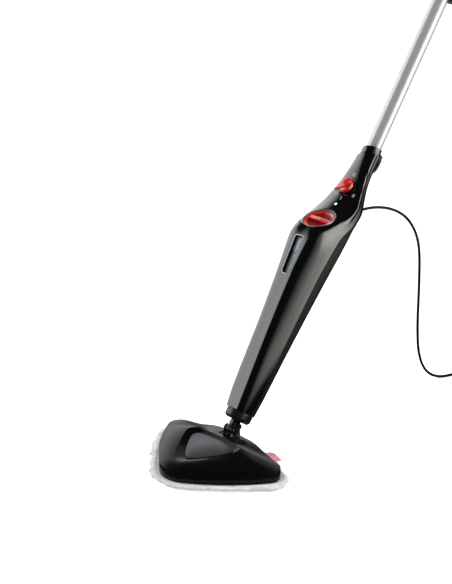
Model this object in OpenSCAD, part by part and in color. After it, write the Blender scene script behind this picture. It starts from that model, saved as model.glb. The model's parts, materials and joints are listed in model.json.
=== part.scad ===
// Upright steam mop: a triangular steam head, a two-axis neck, a slim main unit, a pole and a grip.
// +Z is up and the head's tip points to -Y. The origin is on the floor, under the neck's pitch axis.
// The main unit is drawn upright in its own frame, with z along its axis from the pitch axis and
// its front at -y. It is then leaned back about the pitch axis. Sizes are in millimetres.

/* [Stance] */
// Backward lean of the main unit from the vertical, in degrees
lean = 36.7; // [30:0.1:42]
// Height of the pitch axis above the floor
pivot_h = 53.7; // [53:0.1:56]

/* [Head] */
// Width of the head across its rear corners
head_w = 283; // [270:1:300]
// Depth of the head from its tip to its rear corners
head_d = 161; // [155:1:170]
// Place of the rear corners behind the pitch axis
head_rear_y = 2; // [0:0.5:6]
// Radius of the tip
head_tip_r = 54; // [46:1:60]
// Radius of the rear corners
head_corner_r = 24; // [18:1:30]
// Outward bow of the rear edge
head_rear_bow = 17; // [12:1:20]
// Height of the skirt
skirt_h = 19.7; // [16:0.1:21]
// Wall of the plastic shells
wall = 2.6; // [2:0.1:3]

/* [Head panel] */
// Width of the rim round the panel
rim_w = 130; // [120:1:136]
// Depth of the rim
rim_d = 100; // [92:1:104]
// Height of the rim at its tip, above the skirt
rim_tip_rise = 9; // [7:0.5:11]
// Height of the rim at its rear, above the skirt
rim_rear_rise = 21; // [18:0.5:23]
// Width of the panel
panel_w = 100; // [92:1:114]
// Depth of the panel
panel_d = 72; // [66:1:84]
// Depth of the panel's face below the rim
panel_sink = 6; // [4:0.5:7]

/* [Sole and pad] */
// Thickness of the pad
pad_t = 7.7; // [6:0.1:9]
// Margin of the pad past the head
pad_margin = 14; // [10:1:18]
// Thickness of the sole plate
sole_t = 3; // [2.5:0.1:4]
// Thickness of the hook strips
hook_strip_t = 1.5; // [1:0.1:2]
// Radius of a steam hole
steam_hole_r = 1.6; // [1:0.1:2.5]

/* [Neck] */
// Radius of the pitch pin
pitch_pin_r = 3; // [2.5:0.1:3.5]
// Radius of the roll pin
roll_pin_r = 2.5; // [2:0.1:3]
// Height of the roll axis above the pitch axis
roll_rise = 12.5; // [12.5:0.1:13.5]
// Gap between the two ears on the head
ear_gap = 20.6; // [20:0.1:24]
// Thickness of an ear
ear_t = 4.5; // [4:0.1:5.5]
// Radius of the stem
stem_r = 9.5; // [9:0.1:10]

/* [Main unit] */
// Length of the main unit from the pitch axis to its top edge
unit_len = 566; // [550:1:584]
// Greatest width of the main unit
unit_w = 92; // [86:1:96]
// Greatest depth of the main unit
unit_d = 85; // [80:1:90]
// Radius of the base collar
collar_r = 25.2; // [24.5:0.1:26]
// Length of the window in the tank
window_len = 75; // [65:1:80]
// Width of the window
window_w = 21; // [18:0.5:22]

/* [Controls] */
// Radius of the tank cap
cap_r = 28.5; // [26:0.5:29]
// Height of the tank cap
cap_h = 11; // [9:0.5:12]
// Tilt of the cap's axis up from the unit's front
cap_tilt = 40; // [38:1:44]
// Radius of the dial
dial_r = 14.5; // [12:0.5:16]
// Height of the dial
dial_h = 11; // [8:0.5:13]
// Tilt of the dial's axis up from the unit's front
dial_tilt = 8; // [5:1:12]
// Radius of the indicator lamp
lamp_r = 2.6; // [2:0.1:3.5]

/* [Pole and grip] */
// Radius of the pole
pole_r = 14; // [13:0.1:14.5]
// Radius of the collar round the pole's foot
top_collar_r = 18; // [17.5:0.1:19]
// Height of the collar
top_collar_h = 14.3; // [12:0.1:16]
// Sideways slant of the collar's two ends, in degrees
collar_slant = 14.5; // [0:0.5:16]
// Wall of the pole
pole_wall = 1.2; // [1:0.1:2]
// Bare length of the pole
pole_len = 352; // [340:1:420]
// Forward tilt of the pole against the main unit, in degrees
pole_tilt = 2.8; // [1:0.1:3.2]
// Length of the grip
grip_len = 185; // [160:1:210]
// Radius of the grip at its middle
grip_r = 17.5; // [16:0.5:19]

/* [Cord] */
// Diameter of the power cord
cord_d = 5.5; // [5:0.1:6]

/* [Hidden] */

round_fn = 64;
fine_fn = 40;
seam = 0.3;             // gap that shows between two shells
run_gap = 0.05;         // radial clearance of a turning fit
seat_gap = 0.02;        // radial clearance of a fixed pin
front_of_unit = [90, 0, 0];     // turns +z to the unit's front, -y

// ---- helpers -------------------------------------------------------------------------------

function mix(a, b, t) = a + (b - a) * t;
function clamp01(t) = max(0, min(1, t));
function smooth(a, b, t) = let (k = clamp01((t - a) / (b - a))) k * k * (3 - 2 * k);
function lift(p, z) = [for (q = p) [q.x, q.y, z]];

// A closed solid through rings of points, each with as many points, capped at both ends. A ring that
// runs out along one side of a wall and back along the other is capped by four-sided faces.
module loft(rings, of_wall = false) {
    n = len(rings[0]);
    m = len(rings);
    points = [for (r = rings) each r];
    sides = [for (j = [0:m - 2], i = [0:n - 1])
        let (a = j * n + i, b = j * n + (i + 1) % n) each [[a, a + n, b], [b, a + n, b + n]]];
    first = of_wall ? [for (i = [0:n / 2 - 2]) [i, i + 1, n - 2 - i, n - 1 - i]] : [[for (i = [0:n - 1]) i]];
    last = [for (f = first) [for (k = [len(f) - 1:-1:0]) f[k] + (m - 1) * n]];
    polyhedron(points, concat(sides, first, last));
}

// Half of a rounded triangle, from its tip at -y round to the middle of its rear edge. Its sides bow
// outward by side_turn degrees at their ends, and its rear edge by the height bow.
side_turn = 10;
tip_steps = 6;
side_steps = 8;
corner_steps = 6;
rear_steps = 8;
function tri_half(w, d, y_rear, tip_r, corner_r, bow) =
    let (tip = [0, y_rear - d + tip_r],
        corner = [w / 2 - corner_r, y_rear - corner_r],
        v = corner - tip,
        side = atan2(v.y, v.x) - 90 + asin((tip_r - corner_r) / norm(v)),
        end_turn = atan(2 * bow / corner.x),
        p = tip + tip_r * [cos(side - side_turn), sin(side - side_turn)],
        q = corner + corner_r * [cos(side + side_turn), sin(side + side_turn)],
        out = [cos(side), sin(side)] * norm(q - p) * tan(side_turn),
        e = corner + corner_r * [sin(end_turn), cos(end_turn)])
    concat(
        [for (i = [0:tip_steps]) let (a = mix(-90, side - side_turn, i / tip_steps))
            tip + tip_r * [cos(a), sin(a)]],
        [for (i = [1:side_steps - 1]) let (t = i / side_steps) mix(p, q, t) + out * t * (1 - t)],
        [for (i = [0:corner_steps]) let (a = mix(side + side_turn, 90 - end_turn, i / corner_steps))
            corner + corner_r * [cos(a), sin(a)]],
        [for (i = [1:rear_steps]) let (t = 1 - i / rear_steps) [e.x * t, e.y + bow * (1 - t * t)]]);
function whole(half) = concat(half, [for (i = [len(half) - 2:-1:1]) [-half[i].x, half[i].y]]);

// ---- head ----------------------------------------------------------------------------------

skirt_z = pad_t + seam;
skirt_top = skirt_z + skirt_h;
cover_z = skirt_top + seam;
sole_z = skirt_z + hook_strip_t;
sole_top = sole_z + sole_t;
ledge_w = 6;
ledge_t = 2.5;
rim_rear_y = -31;
rim_tip_r = 15;
rim_corner_r = 17;
rim_bow = 3;
panel_rear_y = rim_rear_y - 6;
panel_t = 2.2;
panel_gap = 1;
cover_lip = 5;

// The head's plan, drawn in by a margin.
function head_plan(inset = 0) = tri_half(head_w - 2 * inset, head_d - 2 * inset, head_rear_y - inset,
    head_tip_r - inset, head_corner_r - inset, head_rear_bow);
function rim_plan() = tri_half(rim_w, rim_d, rim_rear_y, rim_tip_r, rim_corner_r, rim_bow);
function panel_plan(inset = 0) = tri_half(panel_w - 2 * inset, panel_d - 2 * inset, panel_rear_y - inset,
    12 - inset, 12 - inset, rim_bow);

rim_tip_y = rim_rear_y - rim_d;
rim_slope = (rim_rear_rise - rim_tip_rise) / (rim_d - rim_corner_r);
function rim_z(y) = cover_z + min(rim_rear_rise, rim_tip_rise + rim_slope * (y - rim_tip_y));
panel_tip_y = panel_rear_y - panel_d;
panel_face_z = rim_z(panel_tip_y) - panel_sink;
function panel_floor(y) = panel_face_z - panel_t + rim_slope * (y - panel_tip_y);

// Height of the cover's flank, from the rim at v = 0 to the outline at v = 1. It bows out at the
// tip and sides, dips behind the panel, and stays high to the rear edge near the neck.
function flank(v, g) =
    let (rear = smooth(0.74, 0.9, g), dip = smooth(0.35, 0.62, g),
        front_part = pow(1 - pow(v, mix(2.1, 1.15, dip)), mix(0.9, 1.25, dip)),
        rear_part = (1 - 0.34 * v) * pow(1 - pow(v, 14), 0.6))
    mix(front_part, rear_part, rear);

flank_steps = [0, 0.12, 0.28, 0.46, 0.64, 0.8, 0.92, 0.98, 1];
function cover_ring(v, drop, inset) =
    let (o = head_plan(inset), r = rim_plan(), n = len(o) - 1)
    let (half = [for (i = [0:n]) let (p = mix(r[i], o[i], v))
        [p.x, p.y, cover_z + (rim_z(r[i].y) - cover_z) * flank(v, i / n) - drop]])
    concat(half, [for (i = [n - 1:-1:1]) [-half[i].x, half[i].y, half[i].z]]);
function floor_ring(inset, drop) = [for (p = whole(panel_plan(inset))) [p.x, p.y, panel_floor(p.y) - drop]];
function rim_ring(drop) = [for (p = whole(rim_plan())) [p.x, p.y, rim_z(p.y) - drop]];

// The well round the neck, open to the rear.
well_w = 38;
well_front = -17.5;

module head_cover() color([0.05, 0.05, 0.06]) {
    steps = flank_steps;
    last = len(steps) - 1;
    difference() {
        loft(concat(
            [floor_ring(-panel_gap - 1, wall)],
            [for (k = [0:last - 2]) cover_ring(steps[k], wall, cover_lip)],
            [lift(whole(head_plan(cover_lip)), cover_z), lift(whole(head_plan()), cover_z)],
            [for (k = [last - 1:-1:0]) cover_ring(steps[k], 0, 0)],
            [floor_ring(-panel_gap, 0)]));
        translate([-well_w / 2, well_front, cover_z - 1]) cube([well_w, 80, 60]);
    }
}

module head_panel() color([0.32, 0.33, 0.35])
    translate([0, panel_tip_y, panel_floor(panel_tip_y) + 0.02]) rotate([atan(rim_slope), 0, 0])
        linear_extrude(panel_t) translate([0, -panel_tip_y]) polygon(whole(panel_plan()));

// Screw posts that hang from the skirt's ledge.
post_r = 5;
screw_r = 1.9;
screw_head_r = 3.6;
screw_head_t = 1.8;
screw_len = 11;
post_inset = wall + post_r + 1.5;
post_steps = [9, 13, 18, 25];   // places along the half plan, from the tip round to the rear edge
screw_places = concat([head_plan(post_inset)[0]],
    [for (k = post_steps, side = [-1, 1]) let (p = head_plan(post_inset)[k]) [side * p.x, p.y]]);

module head_skirt() color([0.04, 0.04, 0.05]) difference() {
    union() {
        translate([0, 0, skirt_z]) linear_extrude(skirt_h) difference() {
            polygon(whole(head_plan()));
            polygon(whole(head_plan(wall)));
        }
        translate([0, 0, sole_top]) linear_extrude(ledge_t) difference() {
            polygon(whole(head_plan(wall / 2)));
            polygon(whole(head_plan(wall + ledge_w)));
        }
        for (p = screw_places) translate([p.x, p.y, sole_top])
            cylinder(r = post_r, h = screw_len, $fn = fine_fn);
    }
    translate([-tower_w / 2 - seam, 0, sole_top - 1])
        cube([tower_w + 2 * seam, tower_rear + seam, skirt_h]);
    for (p = screw_places) translate([p.x, p.y, sole_top - 1])
        cylinder(r = screw_r, h = screw_len - 1, $fn = fine_fn);
}

function steam_holes() = [for (row = [0:2], k = [-row - 1:row + 1]) [k * 22, -108 + row * 26]];

module sole_plate() color([0.16, 0.16, 0.17]) difference() {
    translate([0, 0, sole_z]) linear_extrude(sole_t) polygon(whole(head_plan(wall + seam)));
    for (p = steam_holes()) translate([p.x, p.y, sole_z - 1])
        cylinder(r = steam_hole_r, h = sole_t + 2, $fn = 24);
    for (p = screw_places) translate([p.x, p.y, sole_z - 1]) {
        cylinder(r = screw_r + 0.3, h = sole_t + 2, $fn = fine_fn);
        cylinder(r = screw_head_r + 0.3, h = 1 + screw_head_t, $fn = fine_fn);
    }
}

module head_screws() color([0.6, 0.6, 0.62]) for (p = screw_places) translate([p.x, p.y, sole_z]) {
    cylinder(r = screw_head_r, h = screw_head_t, $fn = fine_fn);
    cylinder(r = screw_r, h = sole_t + screw_len - 3, $fn = fine_fn);
}

strip_len = 96;
strip_w = 17;
strip_at = [62, -18];           // middle of a rear strip
tip_strip_len = 34;
tip_strip_at = [26, -120];
tip_strip_turn = 48;
module hook_strips() color([0.1, 0.1, 0.11]) translate([0, 0, skirt_z]) for (side = [-1, 1])
    linear_extrude(hook_strip_t) {
        translate([side * strip_at.x, strip_at.y]) square([strip_len, strip_w], center = true);
        translate([side * tip_strip_at.x, tip_strip_at.y]) rotate(side * tip_strip_turn)
            square([tip_strip_len, strip_w], center = true);
    }

// Pad: a soft cloth sock that lies flat and shows all round the head.
pad_corner_extra = 6;
function pad_plan() = tri_half(head_w + 2 * pad_margin + 2 * pad_corner_extra, head_d + 2 * pad_margin,
    head_rear_y + pad_margin, head_tip_r + pad_margin, head_corner_r + pad_margin, head_rear_bow);
module floor_pad() color([0.9, 0.9, 0.88]) {
    edge = whole(pad_plan());
    middle = [0, -60];
    loft([for (k = [[0.975, 0], [1, pad_t * 0.35], [1, pad_t * 0.6], [0.98, pad_t * 0.9], [0.955, pad_t]])
        [for (p = edge) let (q = mix(middle, p, k[0])) [q.x, q.y, k[1]]]]);
}

// Tab: it leaves the pad's rear edge and ends in a straight edge of its own.
tab_w = 41;
tab_x = 57;                     // middle of its root
tab_end = [63, 53];             // middle of its outer edge
tab_turn = -14;
tab_t = 2;
module pad_tab() color([0.72, 0.25, 0.28]) {
    half = pad_plan();
    rear = [for (i = [len(half) - 1:-1:len(half) - rear_steps]) half[i]];
    root = [for (k = [-2:2]) let (x = tab_x + tab_w * k / 4) [x, lookup(x, rear) + seat_gap]];
    across = tab_w / 2 * [cos(tab_turn), sin(tab_turn)];
    translate([0, 0, pad_t * 0.35]) linear_extrude(tab_t)
        polygon(concat(root, [tab_end + across, tab_end - across]));
}

// ---- neck ----------------------------------------------------------------------------------

ear_r = 7.5;
tower_w = well_w - 1;
tower_front = well_front + 0.5;
tower_rear = 13.6;
well_floor = pivot_h - 13.5;
cheek_top = pivot_h - 8;
ear_x = ear_gap / 2;
inlet_y = 9.5;
inlet_r = 3;

module neck_tower() color([0.07, 0.07, 0.08]) difference() {
    union() {
        translate([-tower_w / 2, tower_front, sole_top])
            cube([tower_w, tower_rear - tower_front, well_floor - sole_top]);
        for (side = [-1, 1]) {
            translate([side * (ear_x + ear_t / 2) - ear_t / 2, -ear_r, well_floor])
                cube([ear_t, 2 * ear_r, pivot_h - well_floor]);
            translate([side * (ear_x + ear_t / 2) - ear_t / 2, 0, pivot_h]) rotate([0, 90, 0])
                cylinder(r = ear_r, h = ear_t, $fn = round_fn);
            translate([side * (ear_x + ear_t / 2) - ear_t / 2, tower_front, well_floor])
                cube([ear_t, -tower_front, cheek_top - well_floor]);
        }
    }
    translate([-tower_w, 0, pivot_h]) rotate([0, 90, 0])
        cylinder(r = pitch_pin_r + seat_gap, h = 2 * tower_w, $fn = round_fn);
    translate([0, inlet_y, sole_top - 1]) cylinder(r = inlet_r, h = 60, $fn = fine_fn);
}

pin_head_r = 4.6;
pin_head_t = 1.8;
pin_half = ear_x + ear_t + 0.2;
module pitch_pin() color([0.55, 0.55, 0.57]) translate([0, 0, pivot_h]) rotate([0, 90, 0]) {
    translate([0, 0, -pin_half]) cylinder(r = pitch_pin_r, h = 2 * pin_half, $fn = round_fn);
    for (side = [-1, 1]) translate([0, 0, side * (pin_half + pin_head_t / 2)])
        cylinder(r = pin_head_r, h = pin_head_t, center = true, $fn = round_fn);
}

module steam_inlet() color([0.75, 0.6, 0.3]) translate([0, inlet_y, sole_top]) {
    difference() {
        union() {
            cylinder(r = inlet_r - seat_gap, h = well_floor - sole_top + 2.5, $fn = fine_fn);
            translate([0, 0, well_floor - sole_top + seat_gap])
                cylinder(r = inlet_r + 0.8, h = 1.2, $fn = fine_fn);
        }
        translate([0, 0, -1]) cylinder(r = 1.5, h = 60, $fn = 24);
    }
}

// Everything above the pitch axis is drawn upright and leaned back by this module.
module on_unit() translate([0, 0, pivot_h]) rotate([-lean, 0, 0]) children();

yoke_r = 7.3;
yoke_half = ear_x - 0.4;
roll_barrel_r = 5.8;
roll_barrel_half = 5.3;
arm_in = roll_barrel_half + 0.3;
arm_out = stem_r - 0.1;
arm_r = 5.8;

module neck_yoke() color([0.06, 0.06, 0.07]) on_unit() difference() {
    union() {
        rotate([0, 90, 0]) cylinder(r = yoke_r, h = 2 * yoke_half, center = true, $fn = round_fn);
        translate([-roll_barrel_r, -roll_barrel_half, 0])
            cube([2 * roll_barrel_r, 2 * roll_barrel_half, roll_rise]);
        translate([0, 0, roll_rise]) rotate([90, 0, 0])
            cylinder(r = roll_barrel_r, h = 2 * roll_barrel_half, center = true, $fn = round_fn);
    }
    rotate([0, 90, 0]) cylinder(r = pitch_pin_r + run_gap, h = 60, center = true, $fn = round_fn);
    translate([0, 0, roll_rise]) rotate([90, 0, 0])
        cylinder(r = roll_pin_r + seat_gap, h = 60, center = true, $fn = round_fn);
}

module roll_pin() color([0.55, 0.55, 0.57]) on_unit() translate([0, 0, roll_rise]) rotate([90, 0, 0]) {
    translate([0, 0, -arm_out - 0.4]) cylinder(r = roll_pin_r, h = 2 * arm_out + 0.7, $fn = round_fn);
    translate([0, 0, arm_out + 0.3]) cylinder(r = roll_pin_r + 1.5, h = 1.5, $fn = round_fn);
}

elbow_at = arm_out + 0.4;
elbow_len = 4.5;
module hose_elbow() color([0.08, 0.08, 0.09]) on_unit() translate([0, elbow_at, roll_rise])
    rotate([-90, 0, 0]) cylinder(r = 3.2, h = elbow_len, $fn = fine_fn);

// The hose runs from the elbow on the roll axis down into the steam inlet.
hose_r = 3;
hose_gap = 0.1;                 // between the elbow and the hose
hose_reach = elbow_at + elbow_len + hose_gap;
hose_from = [0, hose_reach * cos(lean) + roll_rise * sin(lean),
    pivot_h + roll_rise * cos(lean) - hose_reach * sin(lean)];
hose_to = [0, inlet_y, well_floor + 2.55];
function bezier(a, b, c, d, t) =
    a * pow(1 - t, 3) + 3 * b * t * pow(1 - t, 2) + 3 * c * t * t * (1 - t) + d * pow(t, 3);
function hose_point(t) = bezier(hose_from, hose_from + 7 * [0, cos(lean), -sin(lean)],
    hose_to + [0, 6, 6], hose_to + [0, 0, 0], t);
module steam_hose() color([0.05, 0.05, 0.06]) {
    turn = 11;
    loft([for (j = [0:turn]) let (t = j / turn, p = hose_point(t),
            q = j == turn ? p + [0, 0, -1] : hose_point(t + 0.01), v = (q - p) / norm(q - p))
        [for (i = [0:11]) p + hose_r * (cos(30 * i) * [1, 0, 0] + sin(30 * i) * [0, -v.z, v.y])]]);
}

crown_z = roll_rise + roll_barrel_r + 0.5;
stem_top = 46;
module neck_stem() color([0.09, 0.09, 0.1]) on_unit() difference() {
    union() {
        translate([0, 0, crown_z]) cylinder(r = stem_r, h = stem_top - crown_z, $fn = round_fn);
        for (side = [-1, 1]) translate([0, side * (arm_in + arm_out) / 2, 0]) {
            translate([0, 0, roll_rise]) rotate([90, 0, 0])
                cylinder(r = arm_r, h = arm_out - arm_in, center = true, $fn = round_fn);
            translate([-arm_r, (arm_in - arm_out) / 2, roll_rise]) intersection() {
                cube([2 * arm_r, arm_out - arm_in, crown_z - roll_rise + 4]);
                translate([arm_r, -side * (arm_in + arm_out) / 2 - (arm_in - arm_out) / 2, 0])
                    cylinder(r = stem_r, h = 60, $fn = round_fn);
            }
        }
    }
    translate([0, 0, roll_rise]) rotate([90, 0, 0])
        cylinder(r = roll_pin_r + run_gap, h = 60, center = true, $fn = round_fn);
    translate([0, 0, crown_z + 4]) cylinder(r = 2, h = 60, $fn = fine_fn);
}

// ---- main unit's outer form ----------------------------------------------------------------

// Sections of the main unit, in millimetres at its drawn size: height, half width and place of the
// front corners, place of the front, half width and place of the side seams, place of the rear, and
// where the control panel's edge runs, counted round the section.
drawn = [566, 92, 85];
sections = [
    [36.5, 20, 20.5, 25, 26.5, -1, -22, 1.2],
    [72, 22, 26, 30.5, 29.5, 0, -21.5, 1.2],
    [140, 22, 35, 39.5, 32.5, 5, -21, 1.2],
    [212, 22.5, 43, 48, 36, 10, -21, 1.2],
    [312, 26.5, 54.6, 60, 42, 16, -21, 1.2],
    [352, 31, 57.5, 63.5, 45, 16.5, -21, 1.2],
    [374, 33, 58, 64.5, 46, 15.5, -21.5, 1.2],
    [392, 33, 54, 60, 46, 13, -22, 1.2],
    [412, 34.5, 40, 43, 45.5, 9, -23, 1.2],
    [428, 38, 26, 30.5, 44, 4, -25.5, 1.14],
    [444, 39.5, 13.5, 21, 42.3, 0, -29, 0.96],
    [462, 37.5, 5, 13, 39, -5, -33, 0.91],
    [478, 33, 3, 9, 34, -6.5, -31, 1.05],
    [496, 28, 2, 6.5, 29, -7, -28.5, 1.35],
    [516, 23.5, 1.5, 6, 24.5, -7.5, -26.5, 1.5],
    [539, 20.5, 1, 6.5, 21.5, -8, -26.5, 1.2],
    [566, 18.5, 0, 7.5, 19.5, -8.5, -27.8, 1.1],
    [576, 18.5, 0, 7.5, 19.5, -8.5, -27.8, 1.1]];
base_z = sections[0][0];
top_z = sections[len(sections) - 1][0];
function unit_z(z) = z * unit_len / drawn[0];
row_scale = [1, unit_w / drawn[1], unit_d / drawn[2], unit_d / drawn[2], unit_w / drawn[1],
    unit_d / drawn[2], unit_d / drawn[2], 1];
// The section at a drawn height, smoothly between the two stations round it.
function section_at(z) =
    let (last = len(sections) - 1,
        i = max([for (k = [0:last - 1]) sections[k][0] <= z ? k : 0]),
        a = sections[i], b = sections[i + 1],
        h = b[0] - a[0], t = (z - a[0]) / h,
        before = sections[max(0, i - 1)], after = sections[min(last, i + 2)],
        ma = (b - before) * (h / (b[0] - before[0])),
        mb = (after - a) * (h / (after[0] - a[0])),
        v = a * (1 + 2 * t) * pow(1 - t, 2) + ma * t * pow(1 - t, 2)
            + b * t * t * (3 - 2 * t) + mb * t * t * (t - 1))
    [for (k = [0:7]) v[k] * row_scale[k]];

// Half a section, run by u: 0 is the front, 1 the front corner, 2 the side seam, 3 the rear corner
// and 4 the rear. Gives [x, forward].
corner_soft = 0.62;
function half_section(z, u) =
    let (s = section_at(z),
        rear_corner = [0.82 * s[4], s[6] + 6 * row_scale[6]],
        p = [[0, s[3]], [s[1], s[2]], [s[4], s[5]], rear_corner, [0, s[6]]],
        m = [[s[1] * 1.1, 0], (p[2] - p[0]) * corner_soft, (p[3] - p[1]) * 0.5,
            (p[4] - p[2]) * 0.55, [-rear_corner.x * 1.1, 0]],
        i = min(3, floor(u)), t = u - i)
    p[i] * (1 + 2 * t) * pow(1 - t, 2) + m[i] * t * pow(1 - t, 2)
        + p[i + 1] * t * t * (3 - 2 * t) + m[i + 1] * t * t * (t - 1);
// A point of the skin. u runs on past 4 round the other side, and below 0 too.
function skin(z, u) =
    let (other = u < 0 || u > 4, q = half_section(z, u < 0 ? -u : u > 4 ? 8 - u : u))
    [other ? -q.x : q.x, -q.y, unit_z(z)];
function skin_normal(z, u) =
    let (zz = min(z, top_z - 1), n = cross(skin(zz, u + 0.02) - skin(zz, u - 0.02),
        skin(zz + 1, u) - skin(max(base_z, zz - 1), u)))
    n / norm(n);
function level(n) = [n.x, n.y, 0] / norm([n.x, n.y]);
function inner_skin(z, u, depth) =
    let (n = skin_normal(z, u))
    skin(z, u) - depth * (z == base_z || z == top_z ? level(n) : n);

bowl_z = 389.5;                 // lowest point of the control panel
bowl_rise = 27;
// Edge of the control panel: it opens in a round from its lowest point.
function panel_edge(z) = section_at(z)[7] * sqrt(1 - pow(1 - clamp01((z - bowl_z) / bowl_rise), 2));
// Edge of the rear cover: it narrows towards the cord exit.
function rear_edge(z) = 2 + 1.05 * smooth(395, 474, z);
seam_u = 0.014;
panel_drop = 1.2;               // gap under the control panel

low_rows = [base_z, 72, 110, 150, 190, 230, 270, 312, 336, 352, 364, 374, 383, bowl_z];
high_rows = [bowl_z + 0.5, bowl_z + 2, 394, 398, 404, 411, 419, 428, 436, 444, 453, 462, 470, 478, 487,
    496, 506, 516, 526, 539, 552, top_z];
rows = concat(low_rows, high_rows);

// A strip of wall between two edges u0 and u1, as one closed ring of points.
function strip(z, u0, u1, n, depth) = concat(
    [for (i = [0:n]) skin(z, mix(u0, u1, i / n))],
    [for (i = [n:-1:0]) inner_skin(z, mix(u0, u1, i / n), depth)]);

shell_cols = 14;
module front_half() loft(of_wall = true, rings = [for (z = rows)
    strip(z, panel_edge(z) + (z > bowl_z ? seam_u : 0), rear_edge(z) - seam_u, shell_cols, wall)]);

window_z = 333.5;
cap_at = [0, -39.5, 416.5];     // where the cap's axis meets the panel, at the drawn size
dial_at = [0, -6.5, 495.5];
lamp_at = [0, -15.5, 456];
function drawn_to_unit(p) = [p.x * row_scale[1], p.y * row_scale[2], unit_z(p.z)];

module at_cap() translate(drawn_to_unit(cap_at)) rotate([90 - cap_tilt, 0, 0]) children();
module at_dial() translate(drawn_to_unit(dial_at)) rotate([90 - dial_tilt, 0, 0]) children();
module at_lamp() translate(drawn_to_unit(lamp_at)) rotate([90 - 26, 0, 0]) children();
window_front = section_at(window_z)[3];
window_tilt = atan((section_at(370)[3] - section_at(300)[3]) / (unit_z(370) - unit_z(300)));
module at_window() translate([0, -window_front, unit_z(window_z)])
    rotate([window_tilt, 0, 0]) rotate(front_of_unit) children();

// The window's outline, drawn in by a margin. It is a little narrower at its foot.
window_foot_w = 17;
window_corner_r = 6;
module window_shape(margin = 0) polygon([for (k = [0:3], a = [0:15:90])
    let (x = (k < 2 ? window_w : window_foot_w) / 2 - window_corner_r, y = window_len / 2 - window_corner_r)
    [k == 0 || k == 3 ? x : -x, k < 2 ? y : -y]
        + (window_corner_r - margin) * [cos(a + 90 * k), sin(a + 90 * k)]]);

// The space past the neck's slanted top end, or before it, from a height above that end.
neck_space = 120;
module at_neck_top(rise) translate([0, 0, unit_z(drawn[0]) + rise]) rotate([0, -collar_slant, 0])
    translate([-neck_space / 2, -neck_space / 2, 0]) children();
module past_neck(rise = 0) at_neck_top(rise) cube(neck_space);
module before_neck(rise) at_neck_top(rise) translate([0, 0, -neck_space]) cube(neck_space);

module front_shell() color([0.04, 0.04, 0.05]) on_unit() difference() {
    union() {
        front_half();
        mirror([1, 0, 0]) front_half();
    }
    at_window() translate([0, 0, -20]) linear_extrude(40) window_shape();
    past_neck();
}

rear_cols = 5;
module rear_cover() color([0.1, 0.1, 0.11]) on_unit() difference() {
    loft(of_wall = true, rings = [for (z = rows)
        strip(z, rear_edge(z) + seam_u, 8 - rear_edge(z) - seam_u, 2 * rear_cols, wall)]);
    at_gland() cylinder(r = gland_r + seam, h = 60, center = true, $fn = fine_fn);
    past_neck();
}

panel_cols = 12;
cap_gap = 1;                    // gap between the cap and the ring round it
ring_lip = 2.2;                 // width of the ring that shows
well_r = cap_r + cap_gap + ring_lip;
module control_panel() color([0.03, 0.03, 0.04]) on_unit() difference() {
    loft(of_wall = true, rings = [for (k = [1:len(high_rows) - 1])
        let (z = high_rows[k], e = min(panel_edge(z), panel_edge(z - panel_drop)) - seam_u)
        strip(z, -e, e, panel_cols, wall)]);
    past_neck();
    at_cap() translate([0, 0, -30]) cylinder(r = well_r, h = 60, $fn = round_fn);
    at_dial() translate([0, 0, -20]) cylinder(r = spindle_r + 1, h = 40, $fn = fine_fn);
    at_lamp() translate([0, 0, -10]) cylinder(r = lamp_r + seat_gap, h = 20, $fn = fine_fn);
}

// ---- main unit's other pieces --------------------------------------------------------------

collar_z = 18.5;
spigot_r = 18;
module base_collar() color([0.12, 0.12, 0.13]) on_unit() rotate_extrude($fn = round_fn) polygon([
    [stem_r + 0.2, collar_z + 2], [stem_r + 1.2, collar_z], [collar_r - 4.5, collar_z],
    [collar_r - 1, collar_z + 3.5], [collar_r - 0.4, collar_z + 5], [collar_r, unit_z(base_z) - 1],
    [collar_r - 0.6, unit_z(base_z) - seam], [spigot_r, unit_z(base_z) - seam],
    [spigot_r, stem_top], [stem_r + 0.2, stem_top]]);

boiler_r = 16.5;
boiler_top = 152;
boiler_at = [0, -1, 0];
boiler_foot = stem_top + 0.05;
module steam_boiler() color([0.7, 0.7, 0.72]) on_unit() translate(boiler_at)
    rotate_extrude($fn = round_fn) polygon([[0, boiler_foot], [boiler_r - 2, boiler_foot],
        [boiler_r, boiler_foot + 3], [boiler_r, boiler_foot + 6], [boiler_r - 1.2, boiler_foot + 7],
        [boiler_r - 1.2, boiler_top - 7], [boiler_r, boiler_top - 6], [boiler_r, boiler_top - 3],
        [boiler_r - 2, boiler_top], [0, boiler_top]]);

pump_bottom = 162;
pump_top = 196;
pump_at = [0, -8, 0];
module water_pump() color([0.2, 0.2, 0.22]) on_unit() translate(pump_at) {
    translate([0, 0, pump_bottom]) cylinder(r = 14, h = 20, $fn = round_fn);
    translate([-12, -12, pump_bottom + 20]) cube([24, 24, pump_top - pump_bottom - 20]);
}
module pump_outlet() color([0.85, 0.85, 0.8]) on_unit() translate([0, -4, boiler_top])
    cylinder(r = 3, h = pump_bottom - boiler_top, $fn = fine_fn);

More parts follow.
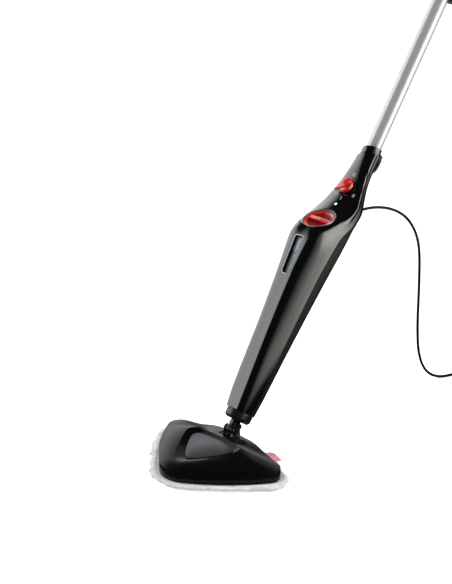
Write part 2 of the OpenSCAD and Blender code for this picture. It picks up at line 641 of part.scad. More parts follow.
// Tank: a tapered vessel behind the window, closed but for the filler and the outlet.
tank_bottom = 206;
tank_shoulder = 384;            // the tank keeps its section above this height
tank_rows = [260, 312, 350];
tank_head = 450;                // past the slope that cuts the tank's top
tank_wall = 2;
tank_top_depth = 20;            // depth of its sloped top below the panel, along the cap's axis
function tank_ring(z, inset) =
    let (s = section_at(min(z, tank_shoulder)), w = s[1] - 4 - inset, c = s[2] - 8 - inset,
        f = s[3] - 6.5 - inset, a = s[4] - 8 - inset, r = -10 + inset)
    [for (p = [[-w, c], [-w * 0.6, f], [w * 0.6, f], [w, c], [a, s[5]], [a - 6, r], [6 - a, r], [-a, s[5]]])
        [p.x, -p.y, unit_z(z)]];
module tank_form(inset) difference() {
    loft([for (z = concat(tank_bottom + inset, tank_rows, tank_shoulder, tank_head)) tank_ring(z, inset)]);
    at_cap() translate([-100, -100, -tank_top_depth - inset]) cube([200, 200, 200]);
}
filler_depth = 26;
outlet_y = -8;
outlet_r = 3;
module water_tank() color([0.62, 0.7, 0.74, 0.6]) on_unit() difference() {
    tank_form(0);
    tank_form(tank_wall);
    at_cap() translate([0, 0, -tank_top_depth - 5])
        cylinder(r = ring_bore + ring_wall + seam, h = 10, $fn = round_fn);
    translate([0, outlet_y, unit_z(tank_bottom) - 1]) cylinder(r = outlet_r + seat_gap, h = 6, $fn = fine_fn);
}
module tank_outlet() color([0.85, 0.85, 0.8]) on_unit() translate([0, outlet_y, pump_top])
    cylinder(r = outlet_r, h = unit_z(tank_bottom) + tank_wall - pump_top, $fn = fine_fn);

// Filler ring: it lines the well in the control panel, and the stopper seals in its bore.
ring_bore = 17;
ring_wall = 2;
ring_floor = -cap_h - 1.2;
module filler_ring() color([0.35, 0.37, 0.38]) on_unit() at_cap() rotate_extrude($fn = round_fn) polygon([
    [ring_bore, -filler_depth], [ring_bore + ring_wall, -filler_depth],
    [ring_bore + ring_wall, ring_floor - 2], [well_r - seam, ring_floor - 2], [well_r - seam, 0.5],
    [well_r - ring_lip / 2, 1], [well_r - ring_lip, 0.5], [well_r - ring_lip, ring_floor],
    [ring_bore, ring_floor]]);

// Cap: a dished red knob with a grip bar, on a stopper that it turns against.
knob_z = ring_floor + 0.4;
dish_r = cap_r - 2.5;
dish_depth = 6.5;
bar_w = 9;
module cap_knob() color([0.85, 0.12, 0.1]) on_unit() at_cap() translate([0, 0, knob_z]) {
    rotate_extrude($fn = round_fn) polygon([[hub_r + run_gap, 0], [cap_r - 1, 0], [cap_r, 1],
        [cap_r, cap_h - 1.5], [cap_r - 0.8, cap_h - 0.4], [cap_r - 1.8, cap_h], [dish_r - 0.6, cap_h - 0.6],
        [dish_r - 6, cap_h - dish_depth + 1], [dish_r - 12, cap_h - dish_depth],
        [hub_r + run_gap, cap_h - dish_depth]]);
    difference() {
        intersection() {
            rotate_extrude($fn = round_fn) polygon([[0, hub_h + 0.4], [dish_r - 0.2, hub_h + 0.4],
                [dish_r - 0.2, cap_h - 1.2], [0, cap_h - 0.2]]);
            translate([-cap_r, -bar_w / 2, 0]) cube([2 * cap_r, bar_w, cap_h]);
        }
        translate([0, 0, -1]) cylinder(r = hub_r + run_gap, h = hub_h + 1.2, $fn = fine_fn);
    }
}
hub_r = 6;
hub_h = 3.2;
stopper_len = 16;
module cap_stopper() color([0.12, 0.12, 0.13]) on_unit() at_cap() rotate_extrude($fn = round_fn) polygon([
    [0, knob_z + hub_h], [hub_r, knob_z + hub_h], [hub_r, knob_z - 0.15], [ring_bore - 1, knob_z - 0.15],
    [ring_bore - 1, ring_floor - 4], [ring_bore - 3, ring_floor - 4], [ring_bore - 3, ring_floor - 8],
    [ring_bore - 1, ring_floor - 8], [ring_bore - 1, ring_floor - stopper_len + 2],
    [ring_bore - 3, ring_floor - stopper_len], [0, ring_floor - stopper_len]]);
module cap_seal() color([0.5, 0.5, 0.5]) on_unit() at_cap() translate([0, 0, ring_floor - 7.9])
    rotate_extrude($fn = round_fn) polygon([[ring_bore - 2.95, 0], [ring_bore - 0.6, 0.2],
        [ring_bore - 0.1, 1.9], [ring_bore - 0.6, 3.6], [ring_bore - 2.95, 3.8]]);

// Dial: a knob with a pointer, on the spindle of the steam switch.
spindle_r = 3;
dial_base = 3.2;
dial_rest = 217;                // direction of the pointer at rest, in degrees
pointer_len = 24;
module steam_dial() color([0.85, 0.12, 0.1]) on_unit() at_dial() translate([0, 0, dial_base]) difference() {
    union() {
        rotate_extrude($fn = round_fn) polygon([[0, 0], [dial_r - 0.6, 0], [dial_r, 0.8],
            [dial_r - 0.8, dial_h * 0.55], [dial_r - 2.2, dial_h * 0.62], [0, dial_h * 0.62]]);
        rotate(dial_rest) hull() {
            translate([pointer_len - 1.6, 0, 0.6]) cylinder(r = 1.5, h = dial_h * 0.5, $fn = 16);
            translate([0, 0, 0.6]) cylinder(r = dial_r * 0.42, h = dial_h - 1, $fn = 24);
            translate([-dial_r * 0.72, 0, 0.6]) cylinder(r = 2.4, h = dial_h - 1, $fn = 16);
        }
    }
    translate([0, 0, -1]) cylinder(r = spindle_r + seat_gap, h = 6, $fn = fine_fn);
}
switch_depth = 12;
module dial_spindle() color([0.75, 0.75, 0.77]) on_unit() at_dial() translate([0, 0, -switch_depth])
    cylinder(r = spindle_r, h = switch_depth + dial_base + 4.5, $fn = fine_fn);
module steam_switch() color([0.25, 0.25, 0.28]) on_unit() at_dial() translate([0, 0, -switch_depth]) {
    difference() {
        union() {
            translate([-9, -9, -4]) cube([18, 18, 8]);
            cylinder(r = 6, h = switch_depth - wall - seam, $fn = fine_fn);
        }
        translate([0, 0, -0.05]) cylinder(r = spindle_r + run_gap, h = 20, $fn = fine_fn);
    }
}
board_t = 1.6;
module circuit_board() color([0.1, 0.35, 0.2]) on_unit() at_dial()
    translate([-13, -48, -switch_depth - 4 - board_t]) cube([26, 66, board_t]);
module indicator_lamp() color([0.7, 0.95, 0.95]) on_unit() at_lamp() translate([0, 0, -9]) {
    cylinder(r = lamp_r, h = 9.3, $fn = fine_fn);
    cylinder(r = lamp_r + 1, h = 1, $fn = fine_fn);
}

// Window: a bezel in the slot, and a clear strip behind it in front of the tank.
bezel_w = 2.4;
bezel_depth = 5;
module window_bezel() color([0.35, 0.37, 0.38]) on_unit() at_window() translate([0, 0, -bezel_depth])
    linear_extrude(bezel_depth + 0.6) difference() {
        window_shape(seat_gap);
        window_shape(bezel_w);
    }
module tank_window() color([0.55, 0.62, 0.66, 0.7]) on_unit() at_window() translate([0, 0, -bezel_depth])
    linear_extrude(2) window_shape(bezel_w + run_gap);

screw_rows = [90, 210, 330];
module body_screws() color([0.35, 0.35, 0.37]) on_unit() for (z = screw_rows)
    translate([0, -section_at(z)[6] - wall - 3, unit_z(z)]) rotate([-90, 0, 0]) {
        cylinder(r = 1.8, h = wall + 3, $fn = 24);
        translate([0, 0, wall + 1.5]) cylinder(r = 3.2, h = 1.3, $fn = fine_fn);
    }

// Lower cord hook: a tongue that hangs from the back of the pole's collar. Its profile is drawn from
// the middle of the collar's lower end, backwards and up.
hook_w = 14;
hook_rear = 28.2;
module lower_cord_hook() color([0.06, 0.06, 0.07]) on_unit() difference() {
    translate([-hook_w / 2, drawn_to_unit(pole_at).y, drawn_to_unit(pole_at).z]) rotate([90, 0, 90])
        linear_extrude(hook_w) polygon([[10, 2], [10, 14.5], [21, 14], [25.4, 12.8], [26.8, 10.4],
            [25.6, 8.4], [26.2, 6.6], [28, 5.6], [hook_rear, -2], [27.6, -10], [26.2, -17],
            [23.2, -21.6], [20, -24.8], [18.9, -23.8], [21, -19.6], [22.8, -14.6], [23.6, -8],
            [23.4, -1], [21.6, 2]]);
    at_pole() translate([0, -collar_ahead, -10]) cylinder(r = top_collar_r + 0.1, h = 60, $fn = round_fn);
}

// Cord gland: a tapered sleeve at the rear corner, aimed so that the cord leaves nearly level.
gland_r = 6;
gland_len = 37.5;
gland_full = 20;                // length of its full thickness, which passes through the rear cover
gland_at = [0, 19, 445.5];      // inside the rear cover, at the drawn size
module at_gland() translate(drawn_to_unit(gland_at)) rotate([-90 + lean, 0, 0]) children();
module cord_gland() color([0.04, 0.04, 0.05]) on_unit() at_gland() rotate_extrude($fn = fine_fn) polygon([
    [0, 0], [gland_r + 1, 0], [gland_r + 1, 2], [gland_r - 0.3, 2.2], [gland_r - 0.3, gland_full],
    [cord_d / 2 + 1.6, gland_full + 4], [cord_d / 2 + 0.9, gland_len], [0, gland_len]]);

// ---- pole and grip -------------------------------------------------------------------------

pole_at = [0, 12.4, 566];       // where the pole's axis leaves the neck, at the drawn size
pole_foot = 3;                  // the pole stands this much above that point
spigot_in = 24;                 // how far the spigot reaches into the neck
spigot_up = 30;                 // and up into the pole
spigot_neck_r = 10;
collar_ahead = 2.2;             // the collar's middle lies in front of the pole's
module at_pole() translate(drawn_to_unit(pole_at)) rotate([pole_tilt, 0, 0]) children();
module on_pole() on_unit() at_pole() children();

module top_collar() color([0.07, 0.07, 0.08]) on_unit() difference() {
    at_pole() translate([0, -collar_ahead, -10]) cylinder(r = top_collar_r, h = 60, $fn = round_fn);
    at_pole() translate([0, 0, -20]) cylinder(r = pole_r + seat_gap, h = 80, $fn = round_fn);
    past_neck(top_collar_h + seam);
    before_neck(seam);
}

module pole_spigot() color([0.12, 0.12, 0.13]) on_pole() difference() {
    union() {
        translate([0, 0, -spigot_in])
            cylinder(r = spigot_neck_r, h = spigot_in + pole_foot + 0.1, $fn = round_fn);
        translate([0, 0, pole_foot + 0.05])
            cylinder(r = pole_r - pole_wall - seat_gap, h = spigot_up, $fn = round_fn);
    }
    translate([0, 0, -spigot_in - 1]) cylinder(r = pole_r - 6, h = spigot_in + spigot_up + 5, $fn = round_fn);
}

module pole() color([0.78, 0.79, 0.8]) on_pole() translate([0, 0, pole_foot]) difference() {
    cylinder(r = pole_r, h = pole_len - pole_foot, $fn = round_fn);
    translate([0, 0, -1]) cylinder(r = pole_r - pole_wall, h = pole_len + 2, $fn = round_fn);
}

// Upper cord hook: a ring that turns on the pole, with a tongue that points up.
ring_z = pole_len - 26;
ring_h = 14;
module upper_cord_hook() color([0.06, 0.06, 0.07]) on_pole() translate([0, 0, ring_z]) {
    rotate_extrude($fn = round_fn) polygon([[pole_r + run_gap, 0], [pole_r + 2.6, 0.4], [pole_r + 3.4, 1.4],
        [pole_r + 3.4, ring_h - 1.4], [pole_r + 2.6, ring_h - 0.4], [pole_r + run_gap, ring_h]]);
    translate([-hook_w / 2, 0, 0]) rotate([90, 0, 90]) linear_extrude(hook_w) polygon([
        [pole_r + 1, 1], [pole_r + 13, 0.4], [pole_r + 17, 2.5], [pole_r + 18.6, 7], [pole_r + 18.8, 26],
        [pole_r + 17.6, 31], [pole_r + 14.6, 32.4], [pole_r + 13.6, 31], [pole_r + 15.6, 27],
        [pole_r + 15.4, 9], [pole_r + 13.6, 6.4], [pole_r + 1, 6]]);
}

ferrule_len = 12;
module grip_ferrule() color([0.07, 0.07, 0.08]) on_pole() translate([0, 0, pole_len - ferrule_len])
    rotate_extrude($fn = round_fn) polygon([[pole_r + seat_gap, 0], [pole_r + 2, 0.4], [pole_r + 3, 2],
        [pole_r + 3, ferrule_len], [pole_r + seat_gap, ferrule_len]]);

core_r = grip_r - 3.5;
module grip_core() color([0.05, 0.05, 0.06]) on_pole() translate([0, 0, pole_len + 0.02]) {
    rotate_extrude($fn = round_fn) polygon([[0, 0], [pole_r + 3, 0], [pole_r + 2.6, 6], [core_r, 12],
        [core_r, grip_len], [0, grip_len]]);
    translate([0, 0, -30]) cylinder(r = pole_r - pole_wall - 0.05, h = 31, $fn = round_fn);
}
// Sleeve with finger swells.
swells = 4;
function sleeve_r(t) = grip_r - 1.1 * pow(abs(cos(180 * swells * t)), 4) - 0.8 * pow(2 * t - 1, 4);
sleeve_start = 14;
sleeve_len = grip_len - 16;
module grip_sleeve() color([0.13, 0.13, 0.14]) on_pole() translate([0, 0, pole_len + sleeve_start])
    rotate_extrude($fn = round_fn) polygon(concat([[core_r + seat_gap, 0]],
        [for (k = [0:32]) [sleeve_r(k / 32), k / 32 * sleeve_len]], [[core_r + seat_gap, sleeve_len]]));

hang_hole_r = 4.5;
grip_cap_len = 34;
module grip_cap() color([0.05, 0.05, 0.06]) on_pole() translate([0, 0, pole_len + grip_len + 0.05])
difference() {
    rotate_extrude($fn = round_fn) polygon(concat([[0, 0], [grip_r - 0.6, 0]],
        [for (a = [0:10:90]) [(grip_r + 1.5) * cos(a), 8 + (grip_cap_len - 8) * sin(a)]]));
    translate([0, 0, grip_cap_len * 0.55]) rotate([0, 90, 0])
        cylinder(r = hang_hole_r, h = 80, center = true, $fn = fine_fn);
}

// ---- cord ----------------------------------------------------------------------------------

// Route of the cord's centre line from the gland to the coil, in the part's own frame.
cord_route = [[0, 318.6, 399.5], [0, 331, 399.9], [0, 344, 399.4], [0, 358, 397.9], [0, 372, 395.2],
    [0, 386, 391.6], [0, 400, 387], [0, 413, 381.6], [0, 426, 375.2], [0, 438, 368], [0, 449, 360],
    [0, 459, 351], [0, 468, 341.2], [0, 476, 330.6], [0, 483, 319], [0, 489, 306.2], [0, 494, 291],
    [0, 497.5, 273], [0, 499.5, 251], [0, 500.5, 226], [0, 501, 196], [0, 501, 164], [0, 501, 132],
    [0.6, 501.8, 100], [1.8, 503.5, 72], [4.5, 507, 48], [9.5, 513, 27], [17, 522, 12.5], [26, 534, 5],
    [34, 549, 2.8], [39, 565, 2.8], [42, 580, 2.8], [42.8, 595, 2.8]];
coil_at = [100, 605];
coil_mid_r = 39;
coil_r = 60;
coil_hole_r = 22;
coil_h = 26;

function along(p, t) =
    let (n = len(p) - 1, x = t * n, i = min(n - 1, floor(x)), f = x - i,
        a = p[max(0, i - 1)], b = p[i], c = p[i + 1], d = p[min(n, i + 2)])
    b * (1 - 3 * f * f + 2 * f * f * f) + c * (3 * f * f - 2 * f * f * f)
        + (c - a) / 2 * (f - 2 * f * f + f * f * f) + (d - b) / 2 * (f * f * f - f * f);
module power_cord() color([0.03, 0.03, 0.03]) {
    rings = 75;
    loft([for (j = [0:rings]) let (t = j / rings, p = along(cord_route, t),
            v = along(cord_route, min(1, t + 0.004)) - along(cord_route, max(0, t - 0.004)), w = v / norm(v),
            a = cross(w, [1, 0, 0.3]), e = a / norm(a), f = cross(w, e))
        [for (i = [0:7]) p + cord_d / 2 * (cos(45 * i) * e + sin(45 * i) * f)]]);
}
module cord_coil() color([0.03, 0.03, 0.03]) translate([coil_at.x, coil_at.y, 0])
    rotate_extrude($fn = round_fn) polygon([[coil_hole_r, 4], [coil_hole_r + 4, 0], [coil_r - 6, 0],
        [coil_r, 6], [coil_r, coil_h - 8], [coil_r - 8, coil_h], [coil_hole_r + 4, coil_h],
        [coil_hole_r, coil_h - 5]]);

tie_w = 12;
tie_dir = -20;
module cord_tie() color([0.1, 0.1, 0.1]) translate([coil_at.x, coil_at.y, 0]) rotate(tie_dir)
    rotate_extrude(angle = tie_w / coil_mid_r * 180 / PI, $fn = round_fn) difference() {
        translate([coil_hole_r - 1.2, 5]) square([coil_r - coil_hole_r + 2.4, coil_h - 3.8]);
        translate([coil_hole_r, -1]) square([coil_r - coil_hole_r, coil_h + 1]);
    }

// Plug: a moulded body and two round pins, lying on the coil.
plug_len = 40;
plug_r = 13;
plug_side = 60;
plug_at = [coil_at.x + coil_mid_r * cos(plug_side), coil_at.y + coil_mid_r * sin(plug_side), coil_h + plug_r];
plug_dir = plug_side + 90;
module at_plug() translate(plug_at) rotate([0, 90, plug_dir]) children();
module plug_body() color([0.03, 0.03, 0.03]) at_plug() translate([0, 0, -plug_len / 2])
    rotate_extrude($fn = round_fn) polygon([[0, 0], [plug_r - 1, 0], [plug_r, 1], [plug_r, 14],
        [plug_r - 2.5, 22], [plug_r - 6, 30], [plug_r - 8.5, plug_len], [0, plug_len]]);
pin_spacing = 19;
plug_pin_r = 2;
pin_len = 19;
module plug_pins() color([0.75, 0.75, 0.75]) at_plug() for (side = [-1, 1])
    translate([0, side * pin_spacing / 2, -plug_len / 2 - pin_len])
        cylinder(r = plug_pin_r, h = pin_len, $fn = 24);

// ---- nodes ---------------------------------------------------------------------------------

sole_plate();
head_skirt();
head_cover();
head_panel();
neck_tower();
steam_inlet();
head_screws();
hook_strips();
floor_pad();
pad_tab();
pitch_pin();
neck_yoke();
roll_pin();
hose_elbow();
steam_hose();
neck_stem();
base_collar();
front_shell();
rear_cover();
control_panel();
window_bezel();
tank_window();
water_tank();
water_pump();
steam_boiler();
tank_outlet();
pump_outlet();
circuit_board();
steam_switch();
dial_spindle();
steam_dial();
indicator_lamp();
filler_ring();
cap_knob();
cap_stopper();
cap_seal();
body_screws();
lower_cord_hook();
cord_gland();
top_collar();
pole_spigot();
pole();
upper_cord_hook();
grip_ferrule();
grip_core();
grip_sleeve();
grip_cap();
power_cord();
cord_coil();
cord_tie();
plug_body();
plug_pins();
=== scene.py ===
# Looks for an upright steam mop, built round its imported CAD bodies. Lengths are in metres.
import json
import math

import bmesh
import bpy
from mathutils import Matrix, Vector, noise
from mathutils.bvhtree import BVHTree
from mathutils.geometry import convex_hull_2d


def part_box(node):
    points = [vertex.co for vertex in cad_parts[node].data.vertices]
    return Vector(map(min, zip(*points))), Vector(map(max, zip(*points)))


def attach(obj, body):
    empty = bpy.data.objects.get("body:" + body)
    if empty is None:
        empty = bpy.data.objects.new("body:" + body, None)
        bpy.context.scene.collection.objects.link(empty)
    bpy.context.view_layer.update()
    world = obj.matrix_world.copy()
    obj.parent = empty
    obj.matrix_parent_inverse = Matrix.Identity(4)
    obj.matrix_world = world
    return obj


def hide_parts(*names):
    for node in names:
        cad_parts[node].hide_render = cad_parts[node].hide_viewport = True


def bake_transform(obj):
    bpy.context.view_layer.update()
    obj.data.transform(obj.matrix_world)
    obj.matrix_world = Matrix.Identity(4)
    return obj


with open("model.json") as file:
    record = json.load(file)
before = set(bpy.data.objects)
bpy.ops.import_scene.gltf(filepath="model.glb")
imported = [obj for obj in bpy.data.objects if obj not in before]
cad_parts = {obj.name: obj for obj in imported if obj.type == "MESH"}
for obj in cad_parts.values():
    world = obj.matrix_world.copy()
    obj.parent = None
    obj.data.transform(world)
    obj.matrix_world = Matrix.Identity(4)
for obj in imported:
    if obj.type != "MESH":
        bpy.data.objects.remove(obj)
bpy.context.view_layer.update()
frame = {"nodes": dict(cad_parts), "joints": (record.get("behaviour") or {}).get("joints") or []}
NODES = frame["nodes"]
JOINTS = {j["name"]: j for j in frame["joints"]}
PIVOT = Vector(JOINTS["neck_pitch"]["pos_m"])
LEAN = math.radians(36.7)        # how far the main unit leans back
scene = bpy.context.scene

# ---- camera --------------------------------------------------------------------------------

AZIMUTH = math.radians(47.4)
ELEVATION = math.radians(22.0)
CAMERA_DISTANCE = 3.5
SENSOR_MM = 36
LENS_MM = 117.9
AIM_RIGHT = -0.0106      # from the pitch axis to the middle of the view
AIM_UP = 0.2513


def make_camera():
    toward = Vector((
        math.sin(AZIMUTH) * math.cos(ELEVATION),
        -math.cos(AZIMUTH) * math.cos(ELEVATION),
        math.sin(ELEVATION),
    ))
    right = Vector((math.cos(AZIMUTH), math.sin(AZIMUTH), 0))
    up = toward.cross(right)
    data = bpy.data.cameras.new("camera")
    data.sensor_width = SENSOR_MM
    data.lens = LENS_MM
    data.clip_end = 50
    camera = bpy.data.objects.new("camera", data)
    scene.collection.objects.link(camera)
    camera.location = PIVOT + toward * CAMERA_DISTANCE + right * AIM_RIGHT + up * AIM_UP
    camera.rotation_euler = toward.to_track_quat("Z", "Y").to_euler()
    scene.camera = camera


make_camera()

# ---- effects shared by the finishes --------------------------------------------------------


def effect(name, inputs, outputs):
    """A node group with its named sockets, and its two end nodes."""
    group = bpy.data.node_groups.new(name, "ShaderNodeTree")
    for label, kind, value in inputs:
        socket = group.interface.new_socket(label, in_out="INPUT", socket_type="NodeSocket" + kind)
        socket.default_value = value
    for label, kind in outputs:
        group.interface.new_socket(label, in_out="OUTPUT", socket_type="NodeSocket" + kind)
    start, end = group.nodes.new("NodeGroupInput"), group.nodes.new("NodeGroupOutput")
    start.location, end.location = (-900, 0), (600, 0)
    return group, start, end


def add(tree, kind, links=(), **values):
    """A node whose inputs are set or linked by name or number."""
    node = tree.nodes.new("ShaderNode" + kind)
    for key, value in values.items():
        setattr(node, key, value)
    for socket, value in dict(links).items():
        target = node.inputs[socket]
        if isinstance(value, bpy.types.NodeSocket):
            tree.links.new(value, target)
        else:
            target.default_value = value
    return node


def moulded_effect():
    """Moulded plastic: a cloudy shade, a changing polish and a fine grain."""
    group, start, end = effect("moulded plastic", [
        ("Base", "Color", (0.05, 0.05, 0.05, 1)), ("Shade", "Color", (0.04, 0.04, 0.04, 1)),
        ("Polish Low", "Float", 0.1), ("Polish High", "Float", 0.2),
        ("Grain Scale", "Float", 900.0), ("Cloud Scale", "Float", 16.0),
    ], [("Color", "Color"), ("Roughness", "Float"), ("Height", "Float")])
    place = add(group, "TexCoord").outputs["Object"]
    cloud = add(group, "TexNoise", {"Vector": place, "Scale": start.outputs["Cloud Scale"],
                                    "Detail": 3.0, "Roughness": 0.55}).outputs["Fac"]
    grain = add(group, "TexNoise", {"Vector": place, "Scale": start.outputs["Grain Scale"],
                                    "Detail": 2.0}).outputs["Fac"]
    shade = add(group, "Mix", {0: cloud, 6: start.outputs["Base"], 7: start.outputs["Shade"]},
                data_type="RGBA")
    blend = add(group, "Math", {0: cloud, 1: grain}, operation="ADD")
    polish = add(group, "MapRange", {"Value": blend.outputs[0], "From Min": 0.6, "From Max": 1.4,
                                     "To Min": start.outputs["Polish Low"],
                                     "To Max": start.outputs["Polish High"]})
    group.links.new(shade.outputs[2], end.inputs["Color"])
    group.links.new(polish.outputs["Result"], end.inputs["Roughness"])
    group.links.new(grain, end.inputs["Height"])
    return group


def cloth_effect():
    """Looped or woven cloth: small uneven loops over a soft mottling, with painted shade in the
    loops' hollows.
    """
    group, start, end = effect("cloth loops", [
        ("Base", "Color", (0.8, 0.8, 0.8, 1)), ("Hollow Shade", "Color", (0.6, 0.6, 0.6, 1)),
        ("Loop Scale", "Float", 420.0), ("Mottle Scale", "Float", 40.0),
    ], [("Color", "Color"), ("Height", "Float")])
    place = add(group, "TexCoord").outputs["Object"]
    loops = add(group, "TexVoronoi", {"Vector": place, "Scale": start.outputs["Loop Scale"],
                                      "Randomness": 1.0}, feature="F1").outputs["Distance"]
    mottle = add(group, "TexNoise", {"Vector": place, "Scale": start.outputs["Mottle Scale"],
                                     "Detail": 5.0}).outputs["Fac"]
    # Painted shade: the loops' hollows are made darker, where shade would fall between them.
    hollow = add(group, "Math", {0: loops, 1: mottle}, operation="MULTIPLY")
    shade = add(group, "MapRange", {"Value": hollow.outputs[0], "From Min": 0.05, "From Max": 0.5})
    color = add(group, "Mix", {0: shade.outputs["Result"], 6: start.outputs["Base"],
                               7: start.outputs["Hollow Shade"]}, data_type="RGBA")
    height = add(group, "Math", {0: 1.0, 1: loops}, operation="SUBTRACT")
    group.links.new(color.outputs[2], end.inputs["Color"])
    group.links.new(height.outputs[0], end.inputs["Height"])
    return group


def drawn_effect():
    """Drawn metal: fine lines along a tube, laid by a turned vector."""
    group, start, end = effect("drawn metal", [
        ("Vector", "Vector", (0, 0, 0)), ("Base", "Color", (0.8, 0.8, 0.8, 1)),
        ("Shade", "Color", (0.7, 0.7, 0.7, 1)), ("Polish Low", "Float", 0.1),
        ("Polish High", "Float", 0.2),
    ], [("Color", "Color"), ("Roughness", "Float"), ("Height", "Float")])
    stretch = add(group, "VectorMath", {0: start.outputs["Vector"], 1: (900.0, 900.0, 9.0)},
                  operation="MULTIPLY")
    lines = add(group, "TexNoise", {"Vector": stretch.outputs[0], "Scale": 1.0,
                                    "Detail": 3.0}).outputs["Fac"]
    color = add(group, "Mix", {0: lines, 6: start.outputs["Base"], 7: start.outputs["Shade"]},
                data_type="RGBA")
    polish = add(group, "MapRange", {"Value": lines, "From Min": 0.3, "From Max": 0.7,
                                     "To Min": start.outputs["Polish Low"],
                                     "To Max": start.outputs["Polish High"]})
    group.links.new(color.outputs[2], end.inputs["Color"])
    group.links.new(polish.outputs["Result"], end.inputs["Roughness"])
    group.links.new(lines, end.inputs["Height"])
    return group


MOULDED = moulded_effect()
CLOTH = cloth_effect()
DRAWN = drawn_effect()

# ---- finishes ------------------------------------------------------------------------------


def shader(name, sockets):
    """A new material, its tree and its Principled shader, with plain values on its own sockets."""
    material = bpy.data.materials.new(name)
    material.use_nodes = True
    tree = material.node_tree
    surface = tree.nodes["Principled BSDF"]
    for key, value in sockets.items():
        surface.inputs[key].default_value = value
    return material, tree, surface


def use_effect(tree, group, values):
    """Places an effect in a tree with this finish's own values."""
    node = tree.nodes.new("ShaderNodeGroup")
    node.node_tree = group
    for key, value in values.items():
        node.inputs[key].default_value = value
    return node


def raise_grain(tree, surface, height, depth):
    """Turns an effect's height, of this depth in metres, into the surface's relief."""
    bump = add(tree, "Bump", {"Height": height, "Distance": depth, "Strength": 1.0})
    tree.links.new(bump.outputs["Normal"], surface.inputs["Normal"])


def grey(value):
    """A very slightly cool grey."""
    return (value, value, value * 1.04, 1)


def plastic(name, base, shade, polish, grain=900.0, depth=0.00002, cloud=16.0, **sockets):
    """Moulded plastic or rubber between two shades and two roughnesses."""
    material, tree, surface = shader(name, sockets)
    look = use_effect(tree, MOULDED, {
        "Base": base, "Shade": shade, "Polish Low": polish[0], "Polish High": polish[1],
        "Grain Scale": grain, "Cloud Scale": cloud})
    tree.links.new(look.outputs["Color"], surface.inputs["Base Color"])
    tree.links.new(look.outputs["Roughness"], surface.inputs["Roughness"])
    raise_grain(tree, surface, look.outputs["Height"], depth)
    return material


def cloth(name, base, hollow, loops, depth, **sockets):
    """Cloth with this many loops to the metre, with painted shade darkening their hollows."""
    material, tree, surface = shader(name, {"Roughness": 0.9, **sockets})
    look = use_effect(tree, CLOTH, {"Base": base, "Hollow Shade": hollow, "Loop Scale": loops})
    tree.links.new(look.outputs["Color"], surface.inputs["Base Color"])
    raise_grain(tree, surface, look.outputs["Height"], depth)
    return material


def metal(name, base, shade, polish, turn=(0, 0, 0), **sockets):
    """Drawn or turned metal. Its lines run along the axis that the turn gives."""
    material, tree, surface = shader(name, {"Metallic": 1.0, **sockets})
    place = add(tree, "Mapping", {"Vector": add(tree, "TexCoord").outputs["Object"],
                                  "Rotation": turn}, vector_type="TEXTURE")
    look = use_effect(tree, DRAWN, {"Base": base, "Shade": shade, "Polish Low": polish[0],
                                    "Polish High": polish[1]})
    tree.links.new(place.outputs["Vector"], look.inputs["Vector"])
    tree.links.new(look.outputs["Color"], surface.inputs["Base Color"])
    tree.links.new(look.outputs["Roughness"], surface.inputs["Roughness"])
    raise_grain(tree, surface, look.outputs["Height"], METAL_LINE)
    return material


METAL_LINE = 0.000004
POLE_TURN = Vector(JOINTS["hook_turn"]["axis"]).to_track_quat("Z", "Y").to_euler()
LOW_SHINE = {"Specular IOR Level": 0.22}
LACQUER = {"Coat Weight": 1.0, "Coat Roughness": 0.08}
RED, RED_SHADE = (0.60, 0.022, 0.015, 1), (0.50, 0.016, 0.011, 1)
RED_LOOK = {"polish": (0.12, 0.18), "grain": 300, "depth": 0.000004,
            "Coat Weight": 0.8, "Coat Roughness": 0.1}

shell_black = plastic("shell black gloss", grey(0.0015), grey(0.0025), (0.09, 0.14), grain=240,
                      depth=0.000004, **LACQUER)
panel_black = plastic("panel black gloss", grey(0.0015), grey(0.0025), (0.08, 0.12), grain=240,
                      depth=0.000004, **LACQUER)
head_black = plastic("head black satin", grey(0.0018), grey(0.003), (0.22, 0.3), grain=420,
                     depth=0.000006, **{"IOR": 1.26, "Specular IOR Level": 0.45})
cover_black = plastic("rear cover black matt", grey(0.004), grey(0.008), (0.42, 0.52), grain=1500,
                      depth=0.00005, **{"Specular IOR Level": 0.15})
part_black = plastic("small parts black satin", grey(0.0022), grey(0.004), (0.24, 0.34), grain=900,
                     depth=0.00001, **LOW_SHINE)
skirt_black = plastic("skirt black satin", grey(0.0025), grey(0.004), (0.2, 0.3), grain=700,
                      depth=0.00001, **LOW_SHINE)
inset_grey = plastic("inset grey satin", (0.026, 0.028, 0.031, 1), (0.036, 0.038, 0.042, 1),
                     (0.3, 0.38), grain=1400, depth=0.00003, **{"Specular IOR Level": 0.45})
collar_grey = plastic("collar dark satin", grey(0.008), grey(0.012), (0.2, 0.28), grain=900,
                      depth=0.000008)
sole_grey = plastic("sole dark matt", grey(0.05), grey(0.065), (0.5, 0.6), depth=0.00004)
red_gloss = plastic("red gloss", RED, RED_SHADE, **RED_LOOK)
cap_red_shaded = plastic("cap red gloss with painted shade", RED, RED_SHADE, **RED_LOOK)
ring_grey = plastic("ring silver satin", (0.30, 0.29, 0.28, 1), (0.24, 0.23, 0.22, 1), (0.16, 0.24),
                    grain=900, depth=0.00001, Metallic=0.5)
bezel_black = plastic("bezel black matt", grey(0.004), grey(0.007), (0.5, 0.6), grain=500,
                      depth=0.00001, **{"Specular IOR Level": 0.08})
# The window rim's pale colour is a painted highlight on the opening's edge.
rim_highlight_grey = plastic("rim pale gloss painted highlight", (0.50, 0.55, 0.57, 1), (0.42, 0.47, 0.49, 1), (0.12, 0.2),
                   grain=500, depth=0.000006)
pane_smoke = plastic("window smoked clear", (0.27, 0.34, 0.38, 1), (0.19, 0.245, 0.28, 1),
                     (0.08, 0.14), grain=120, depth=0.00001, cloud=26)
tank_clear = plastic("tank translucent", (0.55, 0.63, 0.67, 1), (0.48, 0.56, 0.6, 1), (0.2, 0.3))
pump_grey = plastic("pump dark matt", grey(0.06), grey(0.08), (0.4, 0.5))
